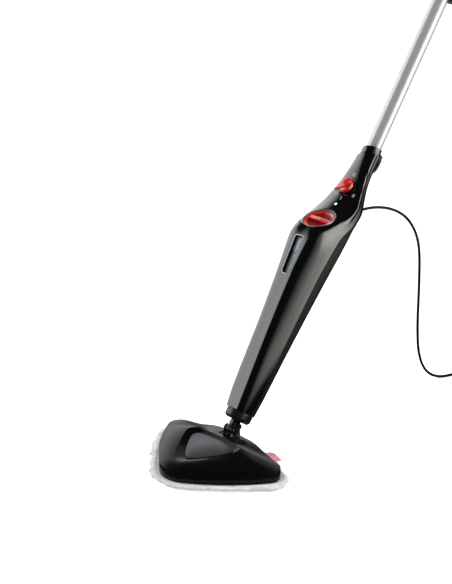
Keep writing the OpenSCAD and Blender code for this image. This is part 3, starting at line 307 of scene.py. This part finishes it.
tube_pale = plastic("tube natural silicone", (0.7, 0.69, 0.62, 1), (0.62, 0.6, 0.52, 1),
                    (0.35, 0.5))
board_green = plastic("board green", (0.02, 0.11, 0.05, 1), (0.015, 0.08, 0.035, 1), (0.3, 0.4))
rubber = plastic("soft rubber black", grey(0.006), grey(0.010), (0.42, 0.55), grain=1300,
                 depth=0.00003, **LOW_SHINE)
cord_black = plastic("cord sheath black", grey(0.0025), grey(0.005), (0.34, 0.44), grain=900,
                     depth=0.00001, **{"Specular IOR Level": 0.1})
mark_grey = plastic("printed mark grey", grey(0.42), grey(0.34), (0.3, 0.4), grain=2500)
# Each cloth's second colour is the painted shade in its loops' hollows.
hook_tape = cloth("hook tape", grey(0.02), grey(0.006), 900, 0.0004)
pin_dark = metal("pin dark steel", (0.10, 0.10, 0.11, 1), (0.06, 0.06, 0.07, 1), (0.28, 0.38))
steel = metal("steel zinc plated", (0.5, 0.5, 0.52, 1), (0.4, 0.4, 0.42, 1), (0.25, 0.36))
brass = metal("brass turned", (0.62, 0.46, 0.2, 1), (0.5, 0.36, 0.15, 1), (0.25, 0.35))
cast = metal("boiler cast aluminium", (0.5, 0.5, 0.52, 1), (0.38, 0.38, 0.4, 1), (0.4, 0.55))
pole_metal = metal("pole anodised aluminium", (0.52, 0.53, 0.54, 1), (0.44, 0.45, 0.46, 1),
                   (0.16, 0.22), turn=POLE_TURN, Metallic=0.35)
pad_cloth = cloth("pad looped cloth", (0.86, 0.86, 0.86, 1), (0.56, 0.56, 0.57, 1), 330, 0.0009,
                  **{"Sheen Weight": 0.25})
tab_cloth = cloth("tab woven tape", (0.80, 0.33, 0.38, 1), (0.62, 0.18, 0.22, 1), 620, 0.0003,
                  **{"Sheen Weight": 0.35})
strap_cloth = cloth("strap woven black", grey(0.022), grey(0.010), 900, 0.0003)
lamp_lens = plastic("lamp lens", (0.7, 0.92, 0.95, 1), (0.55, 0.85, 0.9, 1), (0.1, 0.2), grain=200,
                    **{"Emission Color": (0.5, 0.9, 1.0, 1), "Emission Strength": 0.9})

# ---- CAD nodes -----------------------------------------------------------------------------

FINISH = {
    "front_shell": shell_black, "control_panel": panel_black, "rear_cover": cover_black,
    "head_cover": head_black, "head_skirt": skirt_black, "head_panel": inset_grey,
    "sole_plate": sole_grey, "neck_tower": part_black, "steam_inlet": brass, "head_screws": steel,
    "hook_strips": hook_tape, "pitch_pin": pin_dark, "neck_yoke": part_black, "roll_pin": pin_dark,
    "hose_elbow": part_black, "neck_stem": part_black, "base_collar": collar_grey,
    "window_bezel": bezel_black, "water_tank": tank_clear,
    "water_pump": pump_grey, "steam_boiler": cast, "tank_outlet": tube_pale,
    "pump_outlet": tube_pale, "circuit_board": board_green, "steam_switch": pump_grey,
    "dial_spindle": steel, "steam_dial": red_gloss, "indicator_lamp": lamp_lens,
    "filler_ring": ring_grey, "cap_knob": cap_red_shaded, "cap_stopper": part_black,
    "cap_seal": rubber, "body_screws": steel, "lower_cord_hook": part_black, "cord_gland": rubber,
    "top_collar": panel_black, "pole_spigot": part_black, "pole": pole_metal,
    "upper_cord_hook": part_black, "grip_ferrule": part_black, "grip_core": part_black,
    "grip_sleeve": rubber, "grip_cap": part_black, "plug_body": rubber, "plug_pins": steel,
}
MERGE = 0.00002                  # points closer than this are one
SHARP = math.radians(32)         # a bend past this stays an edge
BEVEL_FROM = math.radians(40)    # a bend past this is rounded
BEVEL = {                        # how wide each node's edges are rounded
    "front_shell": 0.0003, "control_panel": 0.0003, "rear_cover": 0.0004, "top_collar": 0.0004,
    "base_collar": 0.0005, "head_panel": 0.0005, "head_skirt": 0.0004, "cap_knob": 0.0005,
    "filler_ring": 0.0003, "steam_dial": 0.0004, "window_bezel": 0.0003,
    "lower_cord_hook": 0.0008, "upper_cord_hook": 0.0008, "neck_tower": 0.0006,
    "neck_yoke": 0.0005, "neck_stem": 0.0005, "plug_body": 0.0006,
}
EVEN = {"front_shell", "control_panel", "rear_cover"}    # wide faces lead their shading


def dress(node, material):
    """Gives a CAD node its finish, smooth shading and rounded edges."""
    piece = NODES[node]
    piece.data.materials.clear()
    piece.data.materials.append(material)
    for face in piece.data.polygons:
        face.use_smooth = True
        face.material_index = 0
    piece.modifiers.new("weld", "WELD").merge_threshold = MERGE
    if node in BEVEL:
        bevel = piece.modifiers.new("bevel", "BEVEL")
        bevel.width = BEVEL[node]
        bevel.segments = 2
        bevel.limit_method = "ANGLE"
        bevel.angle_limit = BEVEL_FROM
    piece.modifiers.new("split", "EDGE_SPLIT").split_angle = SHARP
    if node in EVEN:
        even = piece.modifiers.new("even", "WEIGHTED_NORMAL")
        even.mode = "FACE_AREA"
        even.weight = 50


for node, material in FINISH.items():
    dress(node, material)


def deepen_below(material, axis, level, blur, colour, share):
    """Below a level along an axis, a finish turns towards a deeper colour. Returns the mask too."""
    tree = material.node_tree
    surface = tree.nodes["Principled BSDF"]
    finish = surface.inputs["Base Color"].links[0].from_socket
    height = add(tree, "VectorMath", {0: add(tree, "TexCoord").outputs["Object"], 1: tuple(axis)},
                 operation="DOT_PRODUCT")
    below = add(tree, "MapRange", {"Value": height.outputs["Value"], "From Min": level + blur,
                                   "From Max": level - blur, "To Min": 0.0, "To Max": share})
    tint = add(tree, "Mix", {0: below.outputs["Result"], 6: finish, 7: colour}, data_type="RGBA")
    tree.links.new(tint.outputs[2], surface.inputs["Base Color"])
    return tree, surface, below.outputs["Result"]


DISH_DEPTH = 0.0026      # from the cap's top to where its dish starts
DISH_BLUR = 0.0009
# Painted shade: the deep red laid into the cap's dish, where shade falls under the rim and grip
# bar.
DISH_SHADE_RED = (0.16, 0.002, 0.002, 1)


def finish_cap():
    """The cap's dish gets painted shade, a deep red, and turns matt, under a glossy rim and grip
    bar.
    """
    axis = Vector(JOINTS["cap_turn"]["axis"]).normalized()
    if axis.z < 0:
        axis = -axis
    top = max(v.co.dot(axis) for v in NODES["cap_knob"].data.vertices)
    # paints shade into the dish, below the rim
    tree, surface, dish = deepen_below(cap_red_shaded, axis, top - DISH_DEPTH, DISH_BLUR, DISH_SHADE_RED, 1.0)
    for socket, rim, hollow in (("Coat Weight", 0.8, 0.0), ("Roughness", 0.14, 0.5)):
        level = add(tree, "MapRange", {"Value": dish, "To Min": rim, "To Max": hollow})
        tree.links.new(level.outputs["Result"], surface.inputs[socket])


finish_cap()

# ---- new pieces ----------------------------------------------------------------------------


def make_piece(name, bm, material, body, stands_for=(), sharp=SHARP):
    """A finished piece from a bmesh, riding on a body."""
    mesh = bpy.data.meshes.new(name)
    bm.to_mesh(mesh)
    bm.free()
    for face in mesh.polygons:
        face.use_smooth = True
    mesh.set_sharp_from_angle(angle=sharp)
    mesh.materials.append(material)
    piece = bpy.data.objects.new(name, mesh)
    scene.collection.objects.link(piece)
    if body:
        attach(piece, body)
    if stands_for:
        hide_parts(*stands_for)
    return piece


def merged_copy(node):
    """The node's mesh as a bmesh of joined faces."""
    bm = bmesh.new()
    bm.from_mesh(NODES[node].data)
    bmesh.ops.remove_doubles(bm, verts=bm.verts, dist=MERGE)
    return bm


def tree_of(*names):
    """The nodes' faces in a tree for rays and nearest points."""
    bm = bmesh.new()
    for name in names:
        bm.from_mesh(NODES[name].data)
    tree = BVHTree.FromBMesh(bm)
    bm.free()
    return tree


def baked(piece):
    """The piece's mesh with its modifiers applied, as a bmesh."""
    shape = piece.evaluated_get(bpy.context.evaluated_depsgraph_get())
    bm = bmesh.new()
    bm.from_mesh(shape.data)
    return bm


def verts_in(geom):
    return [g for g in geom if isinstance(g, bmesh.types.BMVert)]


def round_wire(name, points, radius, steps=8, closed=False):
    """A round wire through the points: a smooth open one, or a closed one with straight runs."""
    curve = bpy.data.curves.new(name, "CURVE")
    curve.dimensions = "3D"
    curve.bevel_depth = radius
    curve.bevel_resolution = 3
    curve.resolution_u = steps
    if closed:
        spline = curve.splines.new("POLY")
        spline.points.add(len(points) - 1)
        for point, place in zip(spline.points, points):
            point.co = (*place, 1)
        spline.use_cyclic_u = True
    else:
        curve.use_fill_caps = True
        spline = curve.splines.new("BEZIER")
        spline.bezier_points.add(len(points) - 1)
        for point, place in zip(spline.bezier_points, points):
            point.co = place
            point.handle_left_type = point.handle_right_type = "AUTO"
    wire = bpy.data.objects.new(name, curve)
    scene.collection.objects.link(wire)
    return wire


def wire_mesh(wire):
    """The wire's surface as a bmesh. The wire itself goes."""
    mesh = bpy.data.meshes.new_from_object(
        wire.evaluated_get(bpy.context.evaluated_depsgraph_get()))
    bm = bmesh.new()
    bm.from_mesh(mesh)
    bpy.data.meshes.remove(mesh)
    bpy.data.objects.remove(wire)
    bmesh.ops.remove_doubles(bm, verts=bm.verts, dist=MERGE)
    return bm


# ---- power cord ----------------------------------------------------------------------------

CORD_D = 0.0055
CORD_LENGTH = 6.0
CORD_ROUTE = [           # in millimetres, from the gland down to the coil
    (0, 318.6, 399.5), (0, 331, 399.9), (0, 344, 399.4), (0, 358, 397.9), (0, 372, 395.2),
    (0, 386, 391.6), (0, 400, 387), (0, 413, 381.6), (0, 426, 375.2), (0, 438, 368), (0, 449, 360),
    (0, 459, 351), (0, 468, 341.2), (0, 476, 330.6), (0, 483, 319), (0, 489, 306.2), (0, 494, 291),
    (0, 497.5, 273), (0, 499.5, 251), (0, 500.5, 226), (0, 501, 196), (0, 501, 164), (0, 501, 132),
    (0.6, 501.8, 100), (1.8, 503.5, 72), (4.5, 507, 48), (9.5, 513, 27), (17, 522, 12.5),
    (26, 534, 5), (34, 549, 2.8), (39, 565, 2.8), (42, 580, 2.8),
]
COIL_AT = Vector((0.100, 0.605, 0))
COIL_OUT = 0.0556        # radius of the outermost turn
COIL_IN = 0.0258
COIL_PITCH = 0.00596     # from turn to turn
COIL_LAYERS = 4
LAYER_RISE = 0.0056      # from layer to layer
FIRST_LAYER = 0.0028
POINTS_PER_TURN = 18
EXIT_R = 0.054           # where the last layer ends
LAST_TURN_POINTS = range(20, 110)
TAIL_SWING = 0.038       # radius of the bend up to the plug
TAIL_FROM, TAIL_BEND = 60, 130
TAIL_AT = Vector((0.0022, 0.0438, 0))
TAIL_RISE = [0.0195, 0.0208, 0.0240, 0.0285, 0.0330, 0.0366, 0.0386, 0.0390]


def coil_points(last_turns):
    """The wound turns: layers that spiral in and out by turns, each above the last."""
    points = []
    angle = math.pi
    height = FIRST_LAYER
    step = 2 * math.pi / POINTS_PER_TURN
    turns = (COIL_OUT - COIL_IN) / COIL_PITCH
    ramp = POINTS_PER_TURN // 3
    top = COIL_LAYERS - 1
    for layer in range(COIL_LAYERS):
        n = round((turns if layer < top else last_turns) * POINTS_PER_TURN)
        start, end = (COIL_IN, COIL_OUT) if layer % 2 else (COIL_OUT, COIL_IN)
        if layer == top:
            end = EXIT_R
        for k in range(n + 1):
            points.append((start + (end - start) * k / n, angle, height))
            angle -= step
        if layer < top:
            for k in range(1, ramp):
                t = k / ramp
                points.append((end, angle, height + LAYER_RISE * t * t * (3 - 2 * t)))
                angle -= step
            height += LAYER_RISE
    return [COIL_AT + Vector((r * math.cos(a), r * math.sin(a), z)) for r, a, z in points]


def tail_points():
    """From the top layer up to the plug's tail, on a wider swing."""
    centre = COIL_AT + TAIL_AT - TAIL_SWING * Vector((0.5, math.sqrt(0.75), 0))
    last = len(TAIL_RISE) - 1
    points = []
    for k, height in enumerate(TAIL_RISE):
        a = math.radians(TAIL_FROM + TAIL_BEND * (1 - k / last))
        points.append(centre + TAIL_SWING * Vector((math.cos(a), math.sin(a), 0))
                      + Vector((0, 0, height)))
    return points


def length_of(points):
    return sum((b - a).length for a, b in zip(points, points[1:]))


def cord_path():
    """Route, coil and tail, with the share of a last layer that gives the cord its length."""
    route = [Vector(p) / 1000 for p in CORD_ROUTE]
    tail = tail_points()

    def miss(coil):
        return (abs(length_of(route + coil + tail) - CORD_LENGTH)
                + 2 * (coil[-1] - tail[0]).length)

    coils = [coil_points(k / POINTS_PER_TURN) for k in LAST_TURN_POINTS]
    return route + min(coils, key=miss) + tail


def make_cord():
    path = cord_path()
    cord = round_wire("mains_cord", path, CORD_D / 2, steps=4)
    cord.data.materials.append(cord_black)
    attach(cord, "main_unit")
    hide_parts("power_cord", "cord_coil")


make_cord()

# ---- floor pad and its tab -------------------------------------------------------------------

PAD_BLANK = (0.985, 0.985, 0.8)  # the blank is this much smaller, because it swells
PAD_VOXEL = 0.004
PAD_PRESSURE = 4.0
PAD_CAP = 0.004          # how far the cloth may swell
SWELL_FRAMES = 20
PAD_SPREAD = 0.0060      # how far the pile stands out past the pad's edge
PAD_LEAN = 0.0035        # it sits a little over to the mop's right
PAD_TOP = 0.0076         # the pad's height under the head
PAD_PUFF = 0.0104        # and clear of the head
PILE, FINE_PILE = 0.0011, 0.0008


def swell(piece):
    """Blows the piece up as cloth, then limits how far each point has moved."""
    start = [v.co.copy() for v in piece.data.vertices]
    cloth_mod = piece.modifiers.new("cloth", "CLOTH")
    cloth_mod.settings.use_pressure = True
    cloth_mod.settings.uniform_pressure_force = PAD_PRESSURE
    cloth_mod.settings.effector_weights.gravity = 0
    cloth_mod.point_cache.frame_start, cloth_mod.point_cache.frame_end = 1, SWELL_FRAMES
    for k in range(1, SWELL_FRAMES + 1):
        scene.frame_set(k)
    bm = baked(piece)
    piece.modifiers.remove(cloth_mod)
    for v, old in zip(bm.verts, start):
        move = v.co - old
        if move.length > PAD_CAP:
            v.co = old + move * (PAD_CAP / move.length)
    bm.to_mesh(piece.data)
    bm.free()
    scene.frame_set(1)


def make_pad():
    """A looped cloth pad: swollen as cloth, then spread at its rim and held under the head."""
    lowest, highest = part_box("floor_pad")
    middle = (Vector(lowest) + Vector(highest)) / 2
    bm = merged_copy("floor_pad")
    bmesh.ops.scale(bm, vec=PAD_BLANK, space=Matrix.Translation(-middle), verts=bm.verts)
    mesh = bpy.data.meshes.new("pad_blank")
    bm.to_mesh(mesh)
    bm.free()
    blank = bpy.data.objects.new("pad_blank", mesh)
    scene.collection.objects.link(blank)
    remesh = blank.modifiers.new("remesh", "REMESH")
    remesh.mode = "VOXEL"
    remesh.voxel_size = PAD_VOXEL
    bm = baked(blank)
    blank.modifiers.clear()
    bm.to_mesh(mesh)
    bm.free()
    swell(blank)
    subdivide = blank.modifiers.new("subdivide", "SUBSURF")
    subdivide.levels = 1
    bm = baked(blank)
    bpy.data.objects.remove(blank)

    head = tree_of("head_skirt", "head_cover")
    bm.normal_update()
    places = []
    for v in bm.verts:
        co, out = v.co.copy(), v.normal.copy()
        flat_out = Vector((out.x, out.y, 0))
        if flat_out.length > 0.2:
            wide = PAD_SPREAD + PAD_LEAN * min(1, max(0, -co.x / 0.05))
            co += flat_out * (wide * (0.85 + 0.4 * noise.noise(co * 90)))
        co += out * (PILE * noise.noise(co * 150) + FINE_PILE * noise.noise(co * 420))
        under = head.ray_cast(Vector((co.x, co.y, 0.001)), Vector((0, 0, 1)))[0] is not None
        near = head.find_nearest(Vector((co.x, co.y, PAD_TOP + 0.001)))[3] or 0
        top = PAD_TOP if under else min(PAD_PUFF, PAD_TOP + 0.5 * max(0, near - 0.002))
        if out.z > 0.5 and not under:
            co.z += 0.0022 * min(1, near / 0.008)
        places.append(Vector((co.x, co.y, min(max(co.z, 0), top))))
    for v, co in zip(bm.verts, places):
        v.co = co
    pad = make_piece("pad", bm, pad_cloth, "head", ["floor_pad"], sharp=math.pi)


TAB_ROOT = Vector((0.0570, 0.0285, 0.0066))
TAB_END = Vector((0.0630, 0.0535, 0.0056))
TAB_W = 0.041
TAB_TUCK = 0.004         # how much of it lies under the pad's edge
TAB_THICK = 0.0014
TAB_WAVE, TAB_RIPPLE = 0.0010, 0.0008
ROOT_ACROSS = Vector((0.994, -0.107, 0))
END_ACROSS = Vector((math.cos(math.radians(-14)), math.sin(math.radians(-14)), 0))


def make_tab():
    """A woven tab sewn into the pad's rear edge. It lies a little wavy."""
    bm = bmesh.new()
    bmesh.ops.create_grid(bm, x_segments=26, y_segments=18, size=0.5)
    run = TAB_END - TAB_ROOT
    run_flat = Vector((run.x, run.y, 0)).normalized()
    for v in bm.verts:
        u, t = v.co.x, v.co.y + 0.5
        side = (ROOT_ACROSS * (1 - t) + END_ACROSS * t) * (TAB_W * u)
        place = TAB_ROOT + side + run * t - run_flat * (TAB_TUCK * (1 - t))
        lift = t * (TAB_WAVE * math.sin(5.2 * u + 1.1) + TAB_RIPPLE * math.sin(3 * t + 9 * u))
        v.co = place + Vector((0, 0, lift))
    bmesh.ops.solidify(bm, geom=bm.faces[:], thickness=TAB_THICK)
    tab = make_piece("tab", bm, tab_cloth, "head", ["pad_tab"], sharp=math.radians(50))
    bevel = tab.modifiers.new("bevel", "BEVEL")
    bevel.width = 0.0004
    bevel.segments = 2


make_pad()
make_tab()

# ---- steam hose --------------------------------------------------------------------------------

HOSE_D = 0.006
HOSE_FROM = Vector((0, 0.01902, 0.05512))
HOSE_TO = Vector((0, 0.0095, 0.04275))


def make_hose():
    """The short hose from the yoke's elbow to the head."""
    away = Vector((0, math.cos(LEAN), -math.sin(LEAN)))
    handles = [HOSE_FROM, HOSE_FROM + 0.007 * away, HOSE_TO + Vector((0, 0.006, 0.006)), HOSE_TO]
    points = []
    for k in range(9):
        t = k / 8
        weights = ((1 - t) ** 3, 3 * t * (1 - t) ** 2, 3 * t * t * (1 - t), t ** 3)
        points.append(sum((w * h for w, h in zip(weights, handles)), Vector()))
    bm = wire_mesh(round_wire("hose", points, HOSE_D / 2))
    hose = make_piece("hose", bm, rubber, None, ["steam_hose"])
    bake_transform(hose)


# ---- cord tie ----------------------------------------------------------------------------------

TIE_W = 0.012
TIE_THICK = 0.0011
TIE_IN, TIE_OUT, TIE_TOP = 0.0225, 0.0612, 0.0236    # the winding's section, with the strap
TIE_SQUARE = 0.42        # 1 is an ellipse, 0 a rectangle
TIE_TURN = math.radians(-11)


def make_tie():
    """A hook-and-loop strap round the coil's winding, with its end laid over itself."""
    bm = bmesh.new()
    half = Vector(((TIE_OUT - TIE_IN) / 2, (TIE_TOP - TIE_THICK) / 2))
    middle = Vector(((TIE_OUT + TIE_IN) / 2, TIE_THICK / 2 + half.y))
    for v in bmesh.ops.create_circle(bm, segments=56, radius=1.0)["verts"]:
        a = math.atan2(v.co.y, v.co.x)
        corner = Vector(math.copysign(abs(c) ** TIE_SQUARE, c) for c in (math.cos(a), math.sin(a)))
        v.co = Vector((middle.x + half.x * corner.x, -TIE_W / 2, middle.y + half.y * corner.y))
    high = TIE_TOP - 0.0006
    flap = [e for e in bm.edges if all(v.co.z > high and v.co.x > middle.x for v in e.verts)]
    made = bmesh.ops.extrude_edge_only(bm, edges=bm.edges[:])["geom"]
    bmesh.ops.translate(bm, vec=(0, TIE_W, 0), verts=verts_in(made))
    ends = {v for e in flap if e.is_valid for v in e.verts}
    top_faces = [f for f in bm.faces if any(v in ends for v in f.verts)
                 and all(v.co.z > high for v in f.verts)]
    copy = bmesh.ops.duplicate(bm, geom=top_faces)["geom"]
    bmesh.ops.translate(bm, vec=(0, 0, TIE_THICK * 1.1), verts=verts_in(copy))
    bmesh.ops.recalc_face_normals(bm, faces=bm.faces)
    bmesh.ops.solidify(bm, geom=bm.faces[:], thickness=TIE_THICK)
    bmesh.ops.transform(bm, verts=bm.verts, matrix=Matrix.Translation(COIL_AT)
                        @ Matrix.Rotation(TIE_TURN, 4, "Z"))
    make_piece("tie", bm, strap_cloth, "main_unit", ["cord_tie"])


# ---- window rim and dial marks -------------------------------------------------------------------


def rim_loop():
    """The window opening's outer edge, in order, read off the bezel's front face."""
    bm = merged_copy("window_bezel")
    bm.normal_update()
    front = max(bm.faces, key=lambda f: f.calc_area() * -f.normal.y).normal.copy()
    far = max(v.co.dot(front) for v in bm.verts)
    level = [v.co.copy() for v in bm.verts if v.co.dot(front) > far - 0.0001]
    bm.free()
    middle = sum(level, Vector()) / len(level)
    side = Vector((1, 0, 0))
    up = front.cross(side)
    ring = convex_hull_2d([(co.dot(side), co.dot(up)) for co in level])
    return front, [level[i] for i in ring], middle


RIM_R = 0.0009
RIM_SUNK = 0.0002


def make_rim():
    """The pale bead round the window. Its pale colour is a painted highlight, light catching the
    opening's edge.
    """
    front, loop, _ = rim_loop()
    points = [co - front * RIM_SUNK for co in loop]
    bm = wire_mesh(round_wire("rim", points, RIM_R, closed=True))
    make_piece("window_rim", bm, rim_highlight_grey, "main_unit")


PANE_DEEP = 0.0052       # from the shell's face to the pane
PANE_THICK = 0.001
WATER_LINE = 0.3625
WATER_DARK = (0.04, 0.05, 0.055, 1)


def make_pane():
    """The window's pane, set deep in its opening, a little crowned."""
    front, _, middle = rim_loop()
    bm = merged_copy("tank_window")
    depth = [(v.co - middle).dot(front) for v in bm.verts]
    high, low = max(depth), min(depth)
    for v, d in zip(bm.verts, depth):
        wanted = -PANE_DEEP - PANE_THICK * (high - d) / (high - low)
        v.co += front * (wanted - d)
    bmesh.ops.bevel(bm, geom=[e for e in bm.edges if e.calc_face_angle(0) > 1], offset=0.0003,
                    segments=2, profile=0.5, affect="EDGES", material=-1)
    deepen_below(pane_smoke, (0, 0, 1), WATER_LINE, 0.001, WATER_DARK, 0.62)
    make_piece("pane", bm, pane_smoke, "main_unit", ["tank_window"])


DIAL_AT = Vector(JOINTS["dial_turn"]["pos_m"])
DIAL_AXIS = Vector(JOINTS["dial_turn"]["axis"]).normalized()
MARK_LIFT = 0.00012
MARK_OUT = 0.0250        # from the dial's axis
MARK_ANGLES = (229, 272, 330, 88)
RING_R, RING_HOLE = 0.0036, 0.62
BAR = (0.0016, 0.0068, 1)
BAR_STEP = 0.0027


def on_panel(tree, right, up, x, y):
    """The point just over the control panel at x, y about the dial's axis, or None."""
    start = DIAL_AT + right * x + up * y + DIAL_AXIS * 0.03
    place, normal = tree.ray_cast(start, -DIAL_AXIS)[:2]
    return (place + normal * MARK_LIFT) if place else None


def make_marks():
    """Four plain printed marks round the dial: a ring, and one, two and three bars."""
    tree = tree_of("control_panel")
    right = Vector((1, 0, 0))
    up = DIAL_AXIS.cross(right)
    if up.z < 0:
        up = -up
    bm = bmesh.new()
    for count, angle in enumerate(MARK_ANGLES):
        at = MARK_OUT * Vector((math.cos(math.radians(angle)), math.sin(math.radians(angle))))
        before = set(bm.verts)
        if count == 0:
            ring = bmesh.ops.create_circle(bm, segments=24, radius=RING_R)["verts"]
            edges = list({e for v in ring for e in v.link_edges})
            inner = bmesh.ops.extrude_edge_only(bm, edges=edges)["geom"]
            bmesh.ops.scale(bm, vec=(RING_HOLE, RING_HOLE, 1), verts=verts_in(inner))
        for k in range(count):
            bar = bmesh.ops.create_grid(bm, x_segments=2, y_segments=6, size=0.5)["verts"]
            bmesh.ops.scale(bm, vec=BAR, verts=bar)
            bmesh.ops.translate(bm, vec=((k - (count - 1) / 2) * BAR_STEP, 0, 0), verts=bar)
        for v in [v for v in bm.verts if v not in before]:
            place = on_panel(tree, right, up, v.co.x + at.x, v.co.y + at.y)
            if place is None:
                bm.verts.remove(v)
            else:
                v.co = place
    bmesh.ops.recalc_face_normals(bm, faces=bm.faces)
    for f in bm.faces:
        if f.normal.dot(DIAL_AXIS) < 0:
            f.normal_flip()
    make_piece("dial_marks", bm, mark_grey, "main_unit")


make_hose()
make_tie()
make_rim()
make_pane()
make_marks()

# ---- light, floor and background -----------------------------------------------------------


LAMPS = [    # name, place, width and height, watts, what it is turned to
    ("key softbox", (-1.7, -1.1, 1.9), (1.0, 1.1), 56, (0, 0.2, 0.35)),
    ("rear softbox", (0.9, 1.7, 1.9), (0.8, 0.9), 44, (0, 0.25, 0.4)),
    ("side softbox", (2.2, 0.45, 0.55), (1.2, 1.3), 14, (0, 0.25, 0.4)),
]


def softbox(name, place, size, power, target):
    """A soft lamp. Shiny surfaces show the drawn studio instead of it."""
    data = bpy.data.lights.new(name, "AREA")
    data.shape = "RECTANGLE"
    data.size, data.size_y = size
    data.energy = power
    lamp = bpy.data.objects.new(name, data)
    scene.collection.objects.link(lamp)
    lamp.location = place
    lamp.rotation_euler = (Vector(target) - Vector(place)).to_track_quat("-Z", "Y").to_euler()
    lamp.visible_glossy = False


for lamp in LAMPS:
    softbox(*lamp)

WORLD_LIGHT = 0.36       # the studio's even light
DIM = 0.02               # what a shiny surface shows between the panels
COOL, WARM = (0.96, 0.99, 1.02), (1.02, 0.99, 0.93)
FLOOR_GLOW = 0.6
MIRROR_FROM = (0.0, 0.22, 0.3)   # the floor's place in the drawn studio is seen from here


def span(group, value, start, full, high=1.0):
    """From 0 at start to high at full, smoothly."""
    return add(group, "MapRange", {"Value": value, "From Min": start, "From Max": full,
                                   "To Min": 0.0, "To Max": high},
               interpolation_type="SMOOTHSTEP").outputs["Result"]


def times(group, *values):
    """The values multiplied together."""
    out = values[0]
    for value in values[1:]:
        out = add(group, "Math", {0: out, 1: value}, operation="MULTIPLY").outputs[0]
    return out


def studio_effect():
    """What a shiny surface shows in a direction: a broad cool panel on the mop's right, a warm one
    in two parts on its left and dark elsewhere. Turn is in degrees from the front, towards the
    mop's left, and rise in degrees above the floor."""
    group, start, end = effect("studio", [("Direction", "Vector", (0, 0, 1))],
                               [("Color", "Color")])
    unit = add(group, "VectorMath", {0: start.outputs["Direction"]}, operation="NORMALIZE")
    axes = add(group, "SeparateXYZ", {0: unit.outputs[0]})
    front = add(group, "Math", {0: axes.outputs["Y"], 1: -1.0}, operation="MULTIPLY")
    turn = add(group, "Math", {0: axes.outputs["X"], 1: front.outputs[0]}, operation="ARCTAN2")
    turn = times(group, turn.outputs[0], math.degrees(1))
    rise = add(group, "Math", {0: axes.outputs["Z"]}, operation="ARCSINE")
    rise = times(group, rise.outputs[0], math.degrees(1))
    fall = add(group, "MapRange", {"Value": turn, "From Min": -35.0, "From Max": -125.0,
                                   "To Min": 2.6, "To Max": 1.5}).outputs["Result"]
    under = add(group, "MapRange", {"Value": rise, "From Min": -14.0, "From Max": 12.0,
                                    "To Min": 0.4, "To Max": 1.0}).outputs["Result"]
    left = times(group, span(group, turn, -27.0, -36.0), span(group, turn, -160.0, -136.0), fall,
                 under, span(group, rise, 47.0, 26.0), span(group, rise, -45.0, -25.0))
    low = times(group, span(group, turn, 56.0, 134.0, 2.8), span(group, rise, 48.0, 20.0))
    high = times(group, span(group, turn, 88.0, 102.0, 2.0), span(group, rise, -14.0, 0.0),
                 span(group, rise, 48.0, 30.0))
    right = add(group, "Math", {0: low, 1: high}, operation="ADD")
    right = times(group, right.outputs[0], span(group, turn, 165.0, 128.0),
                  span(group, rise, -42.0, -19.0))
    cool = add(group, "VectorMath", {0: COOL, "Scale": left}, operation="SCALE")
    warm = add(group, "VectorMath", {0: WARM, "Scale": right}, operation="SCALE")
    both = add(group, "VectorMath", {0: cool.outputs[0], 1: warm.outputs[0]}, operation="ADD")
    total = add(group, "VectorMath", {0: both.outputs[0], 1: (DIM, DIM, DIM)}, operation="ADD")
    group.links.new(total.outputs[0], end.inputs["Color"])
    return group


STUDIO = studio_effect()


def make_world():
    """White where the camera sees it, the drawn studio in shiny surfaces, even light elsewhere."""
    world = bpy.data.worlds.new("studio")
    scene.world = world
    world.use_nodes = True
    tree = world.node_tree
    path = add(tree, "LightPath")
    seen = add(tree, "Math", {0: path.outputs["Is Camera Ray"],
                              1: path.outputs["Is Transmission Ray"]}, operation="MAXIMUM")
    studio = use_effect(tree, STUDIO, {})
    tree.links.new(add(tree, "TexCoord").outputs["Generated"], studio.inputs["Direction"])
    plain = (WORLD_LIGHT, WORLD_LIGHT, WORLD_LIGHT, 1)
    mirrored = add(tree, "Mix", {0: path.outputs["Is Glossy Ray"], 6: plain,
                                 7: studio.outputs["Color"]}, data_type="RGBA")
    level = add(tree, "Mix", {0: seen.outputs[0], 6: mirrored.outputs[2], 7: (1, 1, 1, 1)},
                data_type="RGBA")
    tree.links.new(level.outputs[2], tree.nodes["Background"].inputs["Color"])


make_world()


def make_floor():
    """A pale floor that keeps the mop's shadow."""
    bm = bmesh.new()
    bmesh.ops.create_grid(bm, x_segments=1, y_segments=1, size=1.0)
    bmesh.ops.scale(bm, vec=(3.2, 3.2, 1), verts=bm.verts)
    bmesh.ops.translate(bm, vec=(-0.6, 1.4, 0), verts=bm.verts)
    mesh = bpy.data.meshes.new("floor")
    bm.to_mesh(mesh)
    bm.free()
    floor = bpy.data.objects.new("floor", mesh)
    scene.collection.objects.link(floor)
    material, tree, surface = shader("floor pale", {"Roughness": 0.8})
    cloud = add(tree, "TexNoise", {"Vector": add(tree, "TexCoord").outputs["Object"], "Scale": 3.0})
    tint = add(tree, "Mix", {0: cloud.outputs["Fac"], 6: (0.83, 0.83, 0.83, 1),
                             7: (0.86, 0.86, 0.86, 1)}, data_type="RGBA")
    tree.links.new(tint.outputs[2], surface.inputs["Base Color"])
    path = add(tree, "LightPath")
    glow = add(tree, "Math", {0: path.outputs["Is Camera Ray"], 1: FLOOR_GLOW},
               operation="MULTIPLY")
    surface.inputs["Emission Color"].default_value = (1, 1, 1, 1)
    tree.links.new(glow.outputs[0], surface.inputs["Emission Strength"])
    # What a shiny surface shows of the floor follows the studio round it.
    way = add(tree, "VectorMath", {0: add(tree, "TexCoord").outputs["Object"], 1: MIRROR_FROM},
              operation="SUBTRACT")
    studio = use_effect(tree, STUDIO, {})
    tree.links.new(way.outputs[0], studio.inputs["Direction"])
    shown = add(tree, "Emission", {"Color": studio.outputs["Color"]})
    either = add(tree, "MixShader", {0: path.outputs["Is Glossy Ray"], 1: surface.outputs[0],
                                     2: shown.outputs[0]})
    tree.links.new(either.outputs[0], tree.nodes["Material Output"].inputs["Surface"])
    mesh.materials.append(material)


make_floor()

scene.view_settings.view_transform = "Standard"
